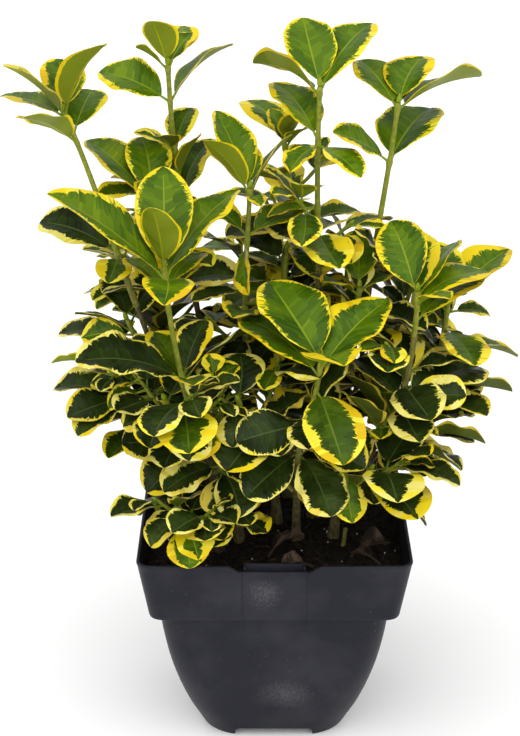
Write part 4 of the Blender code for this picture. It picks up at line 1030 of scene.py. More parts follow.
def fine_leaf(sheaf, leaf, age, rng, dead=False, known=(None, None)):
    """One leaf: petiole, folded and arched blade with ribs, veins, margin and underside."""
    base, az, lift, roll, length, width, curl = leaf
    along, across, up = (np.array(v) for v in leaf_axes(az, lift, roll))
    margins = rng.choice(MARGINS[age])
    unders = UNDERS[age]
    count, veins = next(row[1:] for row in BLADE_ROWS if length >= row[0])
    blotches = Blotches(rng, length, veins, GREENS[age])
    lin = np.linspace(0.0, 1.0, count + 1)
    inside = 0.5 * lin + 0.5 * (1.0 - np.cos(math.pi * lin)) / 2.0
    foot = PETIOLE / length
    slant = VEIN_SLANT * eased(inside / 0.3) * (1.0 - inside)
    rib = RIB_SHARE * (1.0 - 0.55 * inside) * max(1.0, 40.0 / length)
    sides = []
    for side_width in known:
        border = margin_border(inside, rng, age, side_width)
        band = np.array([rng.uniform(0.05, 0.17) for _ in inside])
        before = np.maximum(border - band, rib + 0.05)
        halfway = np.maximum(before * np.array([rng.uniform(0.42, 0.58) for _ in inside]), rib + 0.02)
        sides.append((rib, halfway, before, border, np.ones_like(inside)))
    top_f = np.stack([-c for c in reversed(sides[0])] + list(sides[1]), axis=1)
    low_f = top_f[:, [0, 1, 4, 5, 8, 9]].copy()
    rim = rng.uniform(0.78, 0.90)
    low_f[:, 1] = -rim
    low_f[:, 4] = rim
    crenate = np.where(np.arange(count + 1) % 2 == 1, 0.982, 1.0)
    cup = rng.uniform(0.26, 0.44) + (0.45 if dead else 0.0)
    flare = rng.uniform(0.06, 0.16)
    phase = rng.uniform(0.0, 6.28)
    waves = rng.uniform(1.4, 2.6)
    depth = rng.uniform(0.03, 0.10) * (2.6 if dead else 1.3 if age == OLD else 1.0)
    skew = rng.uniform(-0.06, 0.06)
    shade = 0.75 + 0.5 * (0.5 + 0.5 * math.sin(9.0 * phase))
    base = np.array(base)

    def surface(f):
        tt = inside[:, None] + slant[:, None] * np.abs(f)
        half = width * 0.5 * blade_widths(tt, age)
        half[:, 0] *= crenate
        half[:, -1] *= crenate
        x, z = leaf_lines(foot + (1.0 - foot) * tt, curl)
        rise = half * (cup * np.abs(f) - flare * np.abs(f)**3)
        rise += half * depth * f * np.abs(f) * np.sin(phase + waves * 6.28 * tt)
        rise += 0.34 * np.sin(math.pi * np.abs(f)) * np.sin(math.pi * veins * inside[:, None])**2
        side = f * half + skew * width * np.sin(math.pi * tt)
        mid = base + along * (x[..., None] * length) + up * (z[..., None] * length)
        return mid + across * side[..., None], rise

    top, rise = surface(top_f)
    top = top + up * rise[..., None]
    low, rise = surface(low_f)
    rise -= LEAF_THICK * np.array([0.0, 0.8, 1.0, 1.0, 0.8, 0.0])
    rise[:, 2:4] -= 0.6 * (1.0 - inside[:, None])
    low = low + up * rise[..., None]

    tip = 0.5 * (top[count, 4] + top[count, 5])
    start = 0.5 * (top[0, 4] + top[0, 5])
    verts = [start, tip]
    top_id = np.zeros((count + 1, 10), dtype=int)
    low_id = np.zeros((count + 1, 6), dtype=int)
    top_id[count, :] = 1
    low_id[count, :] = 1
    for i in range(1, count):
        for j in range(10):
            top_id[i, j] = len(verts)
            verts.append(top[i, j])
        low_id[i, 0] = top_id[i, 0]
        low_id[i, 5] = top_id[i, 9]
        for j in range(1, 5):
            low_id[i, j] = len(verts)
            verts.append(low[i, j])

    faces = []
    finishes = []

    def face(ids, finish):
        kept = []
        for k in ids:
            if k not in kept:
                kept.append(int(k))
        if len(kept) > 2:
            faces.append(tuple(kept))
            finishes.append(finish)

    def margin(u, f):
        return margins[1] if blotches.patch(u, f + 9.0, 7.0) > 0.12 else margins[0]

    for i in range(count):
        u = 0.5 * (inside[i] + inside[i + 1])
        for j in range(9):
            strip = abs(j - 4)
            way = 1 if j > 4 else -1
            inner, outer = (j, j + 1) if j > 4 else (j + 1, j)
            ring = (top_id[i, j], top_id[i, j + 1], top_id[i + 1, j + 1], top_id[i + 1, j])
            f = 0.5 * (top_f[i, j] + top_f[i, j + 1])
            if dead:
                value = 1.0 + 2.2 * blotches.patch(u, f, 9.0) + rng.uniform(-0.3, 0.3)
                face(ring, DEAD[min(max(int(round(value)), 0), 2)])
                continue
            if strip == 0:
                face(ring, blotches.tone(u, f, 0.0) if u > 0.90 else RIBS[age])
                continue
            near = margin(u, f) if strip == 4 else blotches.tone(u, f, (0.0, 0.25, 0.72, 1.0)[strip])
            far = near
            if strip == 4:
                broad = 1.0 - abs(top_f[i, 1 if j == 0 else 8]) > 0.26
                if rng.random() < FEATHER[age] and not broad:
                    near = rng.choice(("margin_lime", "margin_olive"))
            elif strip == 3:
                place = bisect(PASSING[age], rng.random())
                far = (margin(u, f), "margin_lime", "margin_olive", near)[place]
            elif strip == 2:
                far = blotches.tone(u, f + 0.08 * way, 0.85)
            low = (top_id[i, inner], top_id[i, outer])
            high = (top_id[i + 1, inner], top_id[i + 1, outer])
            if near == far:
                face(ring, near)
                continue
            if rng.random() < 0.5:
                halves = ((low[0], low[1], high[0]), (low[1], high[1], high[0]))
            else:
                halves = ((low[0], high[1], high[0]), (low[0], low[1], high[1]))
            for ids, finish in zip(halves, (near, far)):
                face(ids if j > 4 else ids[::-1], finish)
        for j in range(5):
            finish = unders[min(max(int(round(shade + 0.8 * blotches.patch(u, j * 0.4, 30.0))), 0), 2)]
            if j in (0, 4):
                finish = unders[3]
            elif j == 2:
                finish = RIBS_UNDER[age]
            if dead:
                finish = DEAD[2]
            face((low_id[i, j], low_id[i + 1, j], low_id[i + 1, j + 1], low_id[i, j + 1]), finish)
    sheaf.add(verts, faces, finishes)

    stalk = []
    for u in (0.0, 0.4 * foot, foot, foot + 0.10):
        px, pz = leaf_lines(np.array(u), curl)
        stalk.append(Vector(base + along * float(px) * length + up * (float(pz) * length - 0.35)))
    radii = [PETIOLE_R * 1.25, PETIOLE_R, PETIOLE_R * 0.9, PETIOLE_R * 0.35]
    body, sides = tube_body(stalk, radii, 5)
    finish = DEAD[1] if dead else PETIOLES[age]
    sheaf.add([tuple(v) for v in body], sides, [finish] * len(sides))


def smooth_path(points, step):
    """Points about a step apart along a smooth curve through a path."""
    fine = []
    ends = [points[0] * 2 - points[1]] + list(points) + [points[-1] * 2 - points[-2]]
    for i in range(1, len(ends) - 2):
        p0, p1, p2, p3 = ends[i - 1:i + 3]
        count = max(2, round((p2 - p1).length / step))
        for k in range(count):
            t = k / count
            fine.append(0.5 * (p1 * 2 + (p2 - p0) * t + (p0 * 2 - p1 * 5 + p2 * 4 - p3) * t * t
                               + (p1 * 3 - p0 - p2 * 3 + p3) * t**3))
    fine.append(points[-1])
    return fine


def bud(sheaf, at, way, length, radius):
    """A pointed, slightly oval bud at the end of a twig."""
    ref = way.orthogonal().normalized()
    other = way.cross(ref)
    rings = ((0.0, 0.55), (0.2, 0.95), (0.45, 1.0), (0.7, 0.66), (0.9, 0.26))
    verts = []
    sides = 8
    for share, r in rings:
        for k in range(sides):
            a = 2 * math.pi * k / sides
            squash = 1.0 + 0.12 * math.cos(2 * a)
            spoke = ref * math.cos(a) + other * math.sin(a)
            verts.append(at + way * length * share + spoke * radius * r * squash)
    verts.append(at - way * 0.3)
    verts.append(at + way * length)
    faces = []
    for i in range(len(rings) - 1):
        for k in range(sides):
            j = (k + 1) % sides
            faces.append((i * sides + k, i * sides + j, (i + 1) * sides + j, (i + 1) * sides + k))
    last = (len(rings) - 1) * sides
    for k in range(sides):
        j = (k + 1) % sides
        faces.append((len(verts) - 2, j, k))
        faces.append((len(verts) - 1, last + k, last + j))
    sheaf.add([tuple(v) for v in verts], faces, ["bud_green"] * len(faces))


def fine_twig(sheaf, points, radii, nodes, finish_at):
    """A twig with a swelling at each pair of leaves and slight flats between its ridges."""
    path = smooth_path(points, 2.2)
    lengths = path_lengths(path)
    total = lengths[-1]
    sides = 8
    ring_radii = []
    for length in lengths:
        share = length / total
        place = share * (len(radii) - 1)
        i = min(int(place), len(radii) - 2)
        r = radii[i] + (radii[i + 1] - radii[i]) * (place - i)
        for drop in nodes:
            off = abs(total - drop - length)
            if off < 3.0:
                r *= 1.0 + 0.22 * (1.0 - off / 3.0)
        ring_radii.append(r)
    verts, faces = tube_body(path, ring_radii, sides)
    verts = [tuple(v) for v in verts]
    finishes = []
    for i in range(len(path) - 1):
        finishes += [finish_at(lengths[i], total)] * (2 * sides)
    finishes += [finish_at(0.0, total), finish_at(total, total)] * (sides - 2)
    sheaf.add(verts, faces, finishes)


def grow_fill(space, plants):
    """More side twigs with small leaves low in the plant, where there is room for them."""
    for index, (name, (drops, length)) in enumerate(FILL_TWIGS.items()):
        rng = random.Random(FILL_SEED + index)
        points = plants[name]["twigs"][0][0]
        total = path_lengths(points)[-1]
        share = SHOOTS[name][-1]
        for drop in drops:
            if drop > total - 4.0:
                continue
            twig = side_twig(space, rng, name, path_at(points, total - drop)[0])
            if not twig:
                continue
            plants[name]["twigs"].append(twig)
            wishes = rule_leaves(twig[0], (1.0, 6.0, 13.0), rng.uniform(0, 90), length, rng)
            for wish in wishes:
                leaf = place_leaf(space, rng, name, wish, min(share * 1.12, 0.74), False)
                if leaf:
                    plants[name]["leaves"].append(leaf)
                    plants[name]["ages"].append(leaf_age(name, leaf, None, rng))
                    plants[name]["set"].append(None)


def reach():
    """The box of the solids in the plant's millimetres, with a little more all round."""
    low = [c / MM - SHIFT[i] - SPILL for i, c in enumerate(cad_low)]
    high = [c / MM - SHIFT[i] + SPILL for i, c in enumerate(cad_high)]
    return np.array(low), np.array(high)


def settle_leaves(space, plants):
    """Leaves of the rule that rise outwards are let down, where there is room, as they age."""
    low, high = reach()
    things = space.things
    gone = []
    for name, plant in plants.items():
        for i, leaf in enumerate(plant["leaves"]):
            if plant["set"][i] is not None:
                continue
            base, az, lift = leaf[:3]
            way = Vector((math.cos(math.radians(az)), math.sin(math.radians(az))))
            out = Vector((base.x, base.y)) - AXIS
            inward = way.dot(out) < 0.25 * out.length and out.length > NEAR_AXIS
            if lift < 6.0 or inward or base.z > SETTLED_BELOW:
                continue
            own = leaf_shape(leaf, 0.8, 1.0, 0.0)[0]
            body = leaf_body(leaf)[0]
            boxes = [[min(v[k] for v in part) for k in range(3)] for part in (own, body)]
            space.things = [thing for thing in things if thing[0] not in boxes]
            for angle in SETTLED:
                lower = (base, az, angle, *leaf[3:])
                shape = leaf_shape(lower, 0.8, 1.0, 0.0)
                inside = all(low[k] < v[k] < high[k] for v in shape[0] for k in range(3))
                if inside and clear_of_pot(shape[0]) and space.free(shape, name):
                    plant["leaves"][i] = lower
                    things = space.things
                    space.add(shape, name)
                    space.add(leaf_body(lower), name, True)
                    break
            else:
                if lift > STEEP:
                    gone.append((name, i))
            space.things = things
    for name, i in reversed(gone):
        for rows in (plants[name]["leaves"], plants[name]["ages"], plants[name]["set"]):
            del rows[i]


def leaf_age(name, leaf, drop, rng):
    """Young at the tips of the tall shoots, dark and old low down and inside."""
    if drop is not None:
        if drop in FRESH_TIPS.get(name, ()):
            return YOUNG
        if drop in OLD_TIPS.get(name, ()) or SHOOTS[name][2][2] < LOW_TIP:
            return OLD
        if drop in GROWN_TIPS.get(name, ()):
            return GROWN
        return YOUNG if drop < 40 else GROWN
    height = leaf[0].z + rng.uniform(-22, 22)
    if height > 318:
        return GROWN if rng.random() < 0.8 else YOUNG
    if height > 262:
        return OLD if rng.random() < 0.62 else GROWN
    return OLD if rng.random() < 0.9 else GROWN


# The soil's relief
SOIL_GRID = 96
SOIL_HALF = collar_half(SOIL_Z) - WALL - 0.5
SOIL_CORNER = 6.6
CRUMBS = 1900
CHIPS = 150
GRAINS = 46
SOIL_SEED = 77

# Fallen leaves on the soil: place, az, lift, roll, length, width, curl, dead or age
FALLEN = (
    ((-26, -22), 50, 34, -34, 38, 12, 40, OLD),
    ((-34, -26), 24, 12, -16, 34, 12, 60, OLD),
    ((-4, -55), 40, 5, -24, 30, 13, 80, None),
    ((48, -55), 34, 4, 20, 28, 13, 75, None),
    ((24, -67), 172, 3, -14, 20, 10, 70, None),
    ((-52, -60), 24, 3, 14, 24, 11, 70, None),
    ((66, -64), 150, 3, 10, 20, 10, 70, None),
    ((-58, 40), 250, 5, 12, 32, 14, 70, None),
    ((48, 58), 160, 9, -16, 38, 19, 75, GROWN),
    ((-66, -20), 70, 5, -10, 28, 12, 80, None),
)


def rounded_square(x, y, half, radius):
    """A point of a square from -1 to 1 moved into one with round corners."""
    x *= half
    y *= half
    centre = half - radius
    over_x = abs(x) - centre
    over_y = abs(y) - centre
    if over_x > 0.0 and over_y > 0.0:
        length = math.hypot(over_x, over_y)
        most = max(over_x, over_y)
        x = math.copysign(centre + over_x / length * most, x)
        y = math.copysign(centre + over_y / length * most, y)
    return x, y


def soil_height(x, y, feet):
    at = Vector((x, y, 0.0))
    z = SOIL_Z + 0.9 * noise.noise(at * 0.045) + 0.75 * noise.noise(at * 0.17)
    z += 0.5 * noise.noise(at * 0.5) + 0.25 * noise.noise(at * 1.1)
    edge = max(abs(x), abs(y)) / SOIL_HALF
    z -= 2.2 * max(0.0, edge - 0.88) / 0.12
    for fx, fy in feet:
        off = math.hypot(x - fx, y - fy)
        z += 2.0 * math.exp(-(off / 7.0)**2)
    return z


def lump(rng, at, radius, flat):
    """A crumb: a rough ball of twenty faces, turned at random."""
    turn = Matrix.Rotation(rng.uniform(0, 6.28), 3, "Z") @ Matrix.Rotation(rng.uniform(0, 3.14), 3, "X")
    golden = (1 + math.sqrt(5)) / 2
    corners = [(-1, golden, 0), (1, golden, 0), (-1, -golden, 0), (1, -golden, 0),
               (0, -1, golden), (0, 1, golden), (0, -1, -golden), (0, 1, -golden),
               (golden, 0, -1), (golden, 0, 1), (-golden, 0, -1), (-golden, 0, 1)]
    verts = []
    for corner in corners:
        v = Vector(corner).normalized() * radius * rng.uniform(0.68, 1.18)
        v = turn @ v
        verts.append((at[0] + v.x, at[1] + v.y, at[2] + v.z * flat))
    faces = [(0, 11, 5), (0, 5, 1), (0, 1, 7), (0, 7, 10), (0, 10, 11), (1, 5, 9), (5, 11, 4),
             (11, 10, 2), (10, 7, 6), (7, 1, 8), (3, 9, 4), (3, 4, 2), (3, 2, 6), (3, 6, 8),
             (3, 8, 9), (4, 9, 5), (2, 4, 11), (6, 2, 10), (8, 6, 7), (9, 8, 1)]
    return verts, faces


def make_soil(materials):
    feet = [row[0] for row in STEMS.values()]
    ground = Sheaf()
    n = SOIL_GRID
    verts = []
    for i in range(n + 1):
        for j in range(n + 1):
            x, y = rounded_square(2.0 * j / n - 1.0, 2.0 * i / n - 1.0, SOIL_HALF, SOIL_CORNER)
            verts.append((x, y, soil_height(x, y, feet)))
    faces = []
    for i in range(n):
        for j in range(n):
            a = i * (n + 1) + j
            faces.append((a, a + 1, a + n + 2, a + n + 1))
    rim = [(2.0 * j / n - 1.0, -1.0) for j in range(n)] + [(1.0, 2.0 * j / n - 1.0) for j in range(n)]
    rim += [(-x, -y) for x, y in rim]
    ring = [j for j in range(n)] + [j * (n + 1) + n for j in range(n)]
    ring += [(n + 1) * (n + 1) - 1 - k for k in ring]
    rows = [(SOIL_RINGS[-1] + 3.0, COLLAR_FOOT_HALF - WALL - 1.4, 6.4)]
    for z in reversed(SOIL_RINGS):
        half, radius = bowl_at(z)
        rows.append((z, half - WALL - 0.9, radius - WALL))
    for z, half, radius in rows:
        start = len(verts)
        verts += [(*rounded_square(x, y, half, radius), z) for x, y in rim]
        below = list(range(start, len(verts)))
        for k in range(len(rim)):
            m = (k + 1) % len(rim)
            faces.append((ring[m], ring[k], below[k], below[m]))
        ring = below
    faces.append(tuple(reversed(ring)))
    ground.add(verts, faces, ["soil_mix"] * len(faces))
    rng = random.Random(SOIL_SEED)
    bits = Sheaf()
    reach = SOIL_HALF - 2.0
    for _ in range(CRUMBS):
        x = rng.uniform(-reach, reach)
        y = rng.uniform(-reach, reach)
        radius = rng.choice((0.7, 0.9, 1.1, 1.4, 1.4, 2.0))
        z = soil_height(x, y, feet) + radius * rng.uniform(-0.2, 0.4)
        bits.add(*lump(rng, (x, y, z), radius, rng.uniform(0.6, 1.0)), ["soil_mix"] * 20)
    for _ in range(CHIPS):
        x = rng.uniform(-reach, reach)
        y = rng.uniform(-reach, reach)
        a = rng.uniform(0, 3.14)
        long = Vector((math.cos(a), math.sin(a), rng.uniform(-0.25, 0.25))) * rng.uniform(1.6, 5.5)
        at = Vector((x, y, soil_height(x, y, feet) + 0.8))
        body, sides = tube_body([at - long, at, at + long], [0.3, rng.uniform(0.4, 0.9), 0.25], 5)
        bits.add([tuple(v) for v in body], sides, ["soil_bark"] * len(sides))
    for _ in range(GRAINS):
        x = rng.uniform(-reach, reach)
        y = rng.uniform(-reach, reach)
        at = (x, y, soil_height(x, y, feet) + 0.7)
        bits.add(*lump(rng, at, rng.uniform(0.45, 0.9), 1.0), ["soil_grain"] * 20)
    bed = ground.mesh_object("soil_bed", materials, 60)
    crumbs = bits.mesh_object("soil_crumbs", materials, 25)
    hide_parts("soil")
    for piece in (bed, crumbs):
        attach(piece, BODY)


def make_fallen(materials):
    rng = random.Random(SOIL_SEED + 1)
    feet = [row[0] for row in STEMS.values()]
    sheaf = Sheaf()
    for (x, y), az, lift, roll, length, width, curl, age in FALLEN:
        base = Vector((x, y, soil_height(x, y, feet) + 2.6))
        leaf = (base, az, lift, roll, length, width, curl)
        fine_leaf(sheaf, leaf, OLD if age is None else age, rng, age is None)
    piece = sheaf.mesh_object("fallen_leaves", materials)
    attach(piece, BODY)


# Stubs of cut stems: place, height and radius
STUBS = ((-31, -33, 17, 1.4), (44, -33, 14, 1.35), (-8, 44, 13, 1.4))


def make_bark(materials, limbs):
    """Stems and boughs with ridged bark, rings of old leaf scars and a flare at the foot."""
    sheaf = Sheaf()
    sides = 14
    for index, (name, (points, radii, _)) in enumerate(limbs.items()):
        path = smooth_path(points, 1.5)
        lengths = path_lengths(path)
        total = lengths[-1]
        scars = 13.0 + 3.0 * (index % 3)
        ring_radii = []
        for length in lengths:
            place = length / total * (len(radii) - 1)
            i = min(int(place), len(radii) - 2)
            r = radii[i] + (radii[i + 1] - radii[i]) * (place - i)
            off = (length + 5.0) % scars
            off = min(off, scars - off)
            ring_radii.append(r * (1.04 + 0.13 * max(0.0, 1.0 - off / 1.8)))
        if name in STEMS:
            path = [path[0] - Vector((0, 0, 2.0))] + path
            lengths = [-2.0] + lengths
            ring_radii = [ring_radii[0] * 1.12] + ring_radii
        verts, faces = tube_body(path, ring_radii, sides)
        rough = []
        for k, v in enumerate(verts):
            ring = min(k // sides, len(path) - 1)
            axis = path[ring]
            out = v - axis
            a = 2 * math.pi * (k % sides) / sides
            at = Vector((math.cos(a) * 1.6 + 7.0 * index, math.sin(a) * 1.6, lengths[ring] * 0.10))
            ridge = 0.10 * noise.noise(at * 2.2) + 0.05 * noise.noise(at * 6.0)
            rough.append(tuple(axis + out * (1.0 + ridge)))
        sheaf.add(rough, faces, ["bark"] * len(faces))
    for x, y, height, radius in STUBS:
        foot = Vector((x, y, SOIL_Z - 2.0))
        lean = Vector((0.1, -0.06, 1.0)) * height
        path = [foot, foot + lean * 0.3, foot + lean * 0.7, foot + lean]
        verts, faces = tube_body(path, [radius * 1.3, radius, radius * 0.95, radius], sides)
        sheaf.add([tuple(v) for v in verts], faces, ["twig_old"] * len(faces))
    piece = sheaf.mesh_object("stems_and_boughs", materials, 50)
    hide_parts(*limbs)
    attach(piece, BODY)


# Above this height the inner leaves are full size, though the solids' are kept apart
LOW_LEAVES = 175.0
# Smaller leaves grow by this much in the finished plant, and where two of them cut each other
# the lesser goes back to these sizes, past these counts of faces that cross
GROWTH = 1.16
SHRINKING = ((1.0, 16), (0.86, 24), (0.0, 50))


def region_of(tip):
    """The side of the plant that a shoot's tip is on."""
    x, y, _ = tip
    if y > 40:
        return "back"
    if x < -55:
        return "left"
    if x > 55:
        return "right"
    return "middle"


class Leaf:
    """One leaf with a sheaf of its own, so that it can be made again in another size."""

    def __init__(self, name, leaf, age, az, rng):
        self.name = name
        self.leaf = leaf
        self.age = age
        self.az = az
        self.draws = rng.getstate()
        small = age != YOUNG and leaf[4] < 42.0 and leaf[0].z > LOW_LEAVES
        self.size = GROWTH if small else 1.0
        self.make(rng)

    def make(self, rng):
        base, az, lift, roll, length, width, curl = self.leaf
        width *= self.size * SLENDER.get(self.name, 1.0)
        known = MARGIN_OF.get(self.name, {}).get(self.az, (None, None))
        self.sheaf = Sheaf()
        leaf = (base, az, lift, roll, length * self.size, width, curl)
        fine_leaf(self.sheaf, leaf, self.age, rng, known=known)
        blade = self.sheaf.verts[0]
        self.low = blade.min(axis=0)
        self.high = blade.max(axis=0)
        faces = [ids for ids in self.sheaf.faces if max(ids) < len(blade)]
        self.tree = BVHTree.FromPolygons(blade.tolist(), faces)

    def rank(self):
        return (self.az is not None, self.leaf[4])


def part_leaves(leaves):
    """Of two leaves that cut each other the lesser is made smaller, or at last left out."""
    rng = random.Random(0)
    first, last = reach()
    for size, limit in SHRINKING:
        low = np.array([leaf.low for leaf in leaves])
        high = np.array([leaf.high for leaf in leaves])
        past = (low < first).any(axis=1) | (high > last).any(axis=1)
        lesser = {int(k) for k in np.flatnonzero(past)} if size else set()
        for i, one in enumerate(leaves):
            near = (low[i + 1:] < high[i]).all(axis=1) & (high[i + 1:] > low[i]).all(axis=1)
            for j in np.flatnonzero(near) + i + 1:
                if len(one.tree.overlap(leaves[j].tree)) > limit:
                    lesser.add(min((i, int(j)), key=lambda k: leaves[k].rank()))
        for k in sorted(lesser):
            if size == 1.0 and leaves[k].size > size or size and leaves[k].az is None:
                leaves[k].size = size
                rng.setstate(leaves[k].draws)
                leaves[k].make(rng)
        if not size:
            leaves = [leaf for k, leaf in enumerate(leaves) if k not in lesser or leaf.az is not None]
    return leaves


def make_foliage(materials, plants):
    """Leaves in pieces by side of the plant, twigs with their buds in another."""
    leaves = {}
    twigs = Sheaf()
    owners = {}
    single = []
    for index, (name, plant) in enumerate(plants.items()):
        rng = random.Random(900 + index)
        for leaf, age, az in zip(plant["leaves"], plant["ages"], plant["set"]):
            single.append(Leaf(name, leaf, age, az, rng))
    for leaf in part_leaves(single):
        sheaves = leaves.setdefault(region_of(SHOOTS[leaf.name][2]), [Sheaf()])
        if sheaves[-1].triangles > 175000:
            sheaves.append(Sheaf())
        for verts, faces, finishes in leaf.sheaf.parts():
            sheaves[-1].add(verts, faces, finishes)
    for name, plant in plants.items():
        owners.setdefault(region_of(SHOOTS[name][2]), []).append(name)
        main_points = plant["twigs"][0][0]
        drops = sorted({row[0] for row in TIP_LEAVES.get(name, ())} | set(SHOOTS[name][5]))
        high = main_points[-1].z > 320

        def finish(length, whole):
            if high:
                return "twig_fresh" if whole - length < 95 else "twig_old"
            return "twig_fresh" if whole - length < 30 else "twig_old"

        radii = [r * 1.42 for r in TWIG_R]
        fine_twig(twigs, main_points, radii, drops, finish)
        for points, _, _ in plant["twigs"][1:]:
            side_radii = [r * 1.30 for r in SIDE_R]
            fine_twig(twigs, points, side_radii, SIDE_DROPS, lambda length, whole: "twig_fresh")
        for points, _, _ in plant["twigs"]:
            way = (points[-1] - points[-2]).normalized()
            size = 1.0 if points is main_points else 0.7
            bud(twigs, points[-1], way, 6.0 * size, 1.7 * size)
    for region, sheaves in leaves.items():
        for i, sheaf in enumerate(sheaves):
            piece = sheaf.mesh_object(f"leaves_{region}_{i + 1}", materials)
            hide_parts(*owners[region])
            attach(piece, BODY)
    piece = twigs.mesh_object("green_twigs", materials, 50)
    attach(piece, BODY)


def node(tree, kind, **values):
    made = tree.nodes.new(kind)
    for key, value in values.items():
        if key in made.inputs:
            made.inputs[key].default_value = value
        else:
            setattr(made, key, value)
    return made


def plain_material(name, colour, roughness, gloss=0.12):
    mat = bpy.data.materials.new(name)
    mat.use_nodes = True
    shader = mat.node_tree.nodes["Principled BSDF"]
    shader.inputs["Base Color"].default_value = (*colour, 1.0)
    shader.inputs["Roughness"].default_value = roughness
    shader.inputs["Specular IOR Level"].default_value = gloss
    return mat, mat.node_tree, shader


def leaf_finish(name, colour, roughness, depth):
    """A waxy leaf surface: gloss that varies, and a fine pebbled bump."""
    mat, tree, shader = plain_material(name, colour, roughness)
    link = tree.links.new
    coord = node(tree, "ShaderNodeTexCoord")
    cells = node(tree, "ShaderNodeTexNoise", Scale=900.0, Detail=2.0)
    patches = node(tree, "ShaderNodeTexNoise", Scale=140.0, Detail=3.0)
    spread = node(tree, "ShaderNodeMapRange")
    spread.inputs["To Min"].default_value = roughness - 0.08
    spread.inputs["To Max"].default_value = roughness + 0.12
    bump = node(tree, "ShaderNodeBump", Strength=depth, Distance=0.0004)
    link(coord.outputs["Object"], cells.inputs["Vector"])
    link(coord.outputs["Object"], patches.inputs["Vector"])
    link(patches.outputs["Fac"], spread.inputs["Value"])
    link(spread.outputs["Result"], shader.inputs["Roughness"])
    link(cells.outputs["Fac"], bump.inputs["Height"])
    quilt = node(tree, "ShaderNodeBump", Strength=0.30, Distance=0.0016)
    link(patches.outputs["Fac"], quilt.inputs["Height"])
    link(bump.outputs["Normal"], quilt.inputs["Normal"])
    link(quilt.outputs["Normal"], shader.inputs["Normal"])
    return mat


def mixed_finish(name, dark, light, scale, roughness, depth, distance=0.0006, stretch=(1, 1, 1)):
    """A surface whose colour and relief wander between two shades."""
    mat, tree, shader = plain_material(name, light, roughness)
    link = tree.links.new
    coord = node(tree, "ShaderNodeTexCoord")
    place = node(tree, "ShaderNodeMapping", Scale=stretch)
    grain = node(tree, "ShaderNodeTexNoise", Scale=scale, Detail=8.0, Roughness=0.62)
    ramp = node(tree, "ShaderNodeValToRGB")
    ramp.color_ramp.elements[0].position = 0.34
    ramp.color_ramp.elements[0].color = (*dark, 1.0)
    ramp.color_ramp.elements[1].position = 0.68
    ramp.color_ramp.elements[1].color = (*light, 1.0)
    bump = node(tree, "ShaderNodeBump", Strength=depth, Distance=distance)
    spread = node(tree, "ShaderNodeMapRange")
    spread.inputs["To Min"].default_value = roughness - 0.10
    spread.inputs["To Max"].default_value = min(1.0, roughness + 0.12)
    link(coord.outputs["Object"], place.inputs["Vector"])
    link(place.outputs["Vector"], grain.inputs["Vector"])
    link(grain.outputs["Fac"], ramp.inputs["Fac"])
    link(ramp.outputs["Color"], shader.inputs["Base Color"])
    link(grain.outputs["Fac"], spread.inputs["Value"])
    link(spread.outputs["Result"], shader.inputs["Roughness"])
    link(grain.outputs["Fac"], bump.inputs["Height"])
    link(bump.outputs["Normal"], shader.inputs["Normal"])
    return mat


# Where dust lies thickest: middle in the pot's millimetres, and reach in metres
DUST = (((-6.0, -84.0, 124.0), (0.019, 0.030, 0.020)), ((8.0, -58.0, 40.0), (0.030, 0.022, 0.022)))


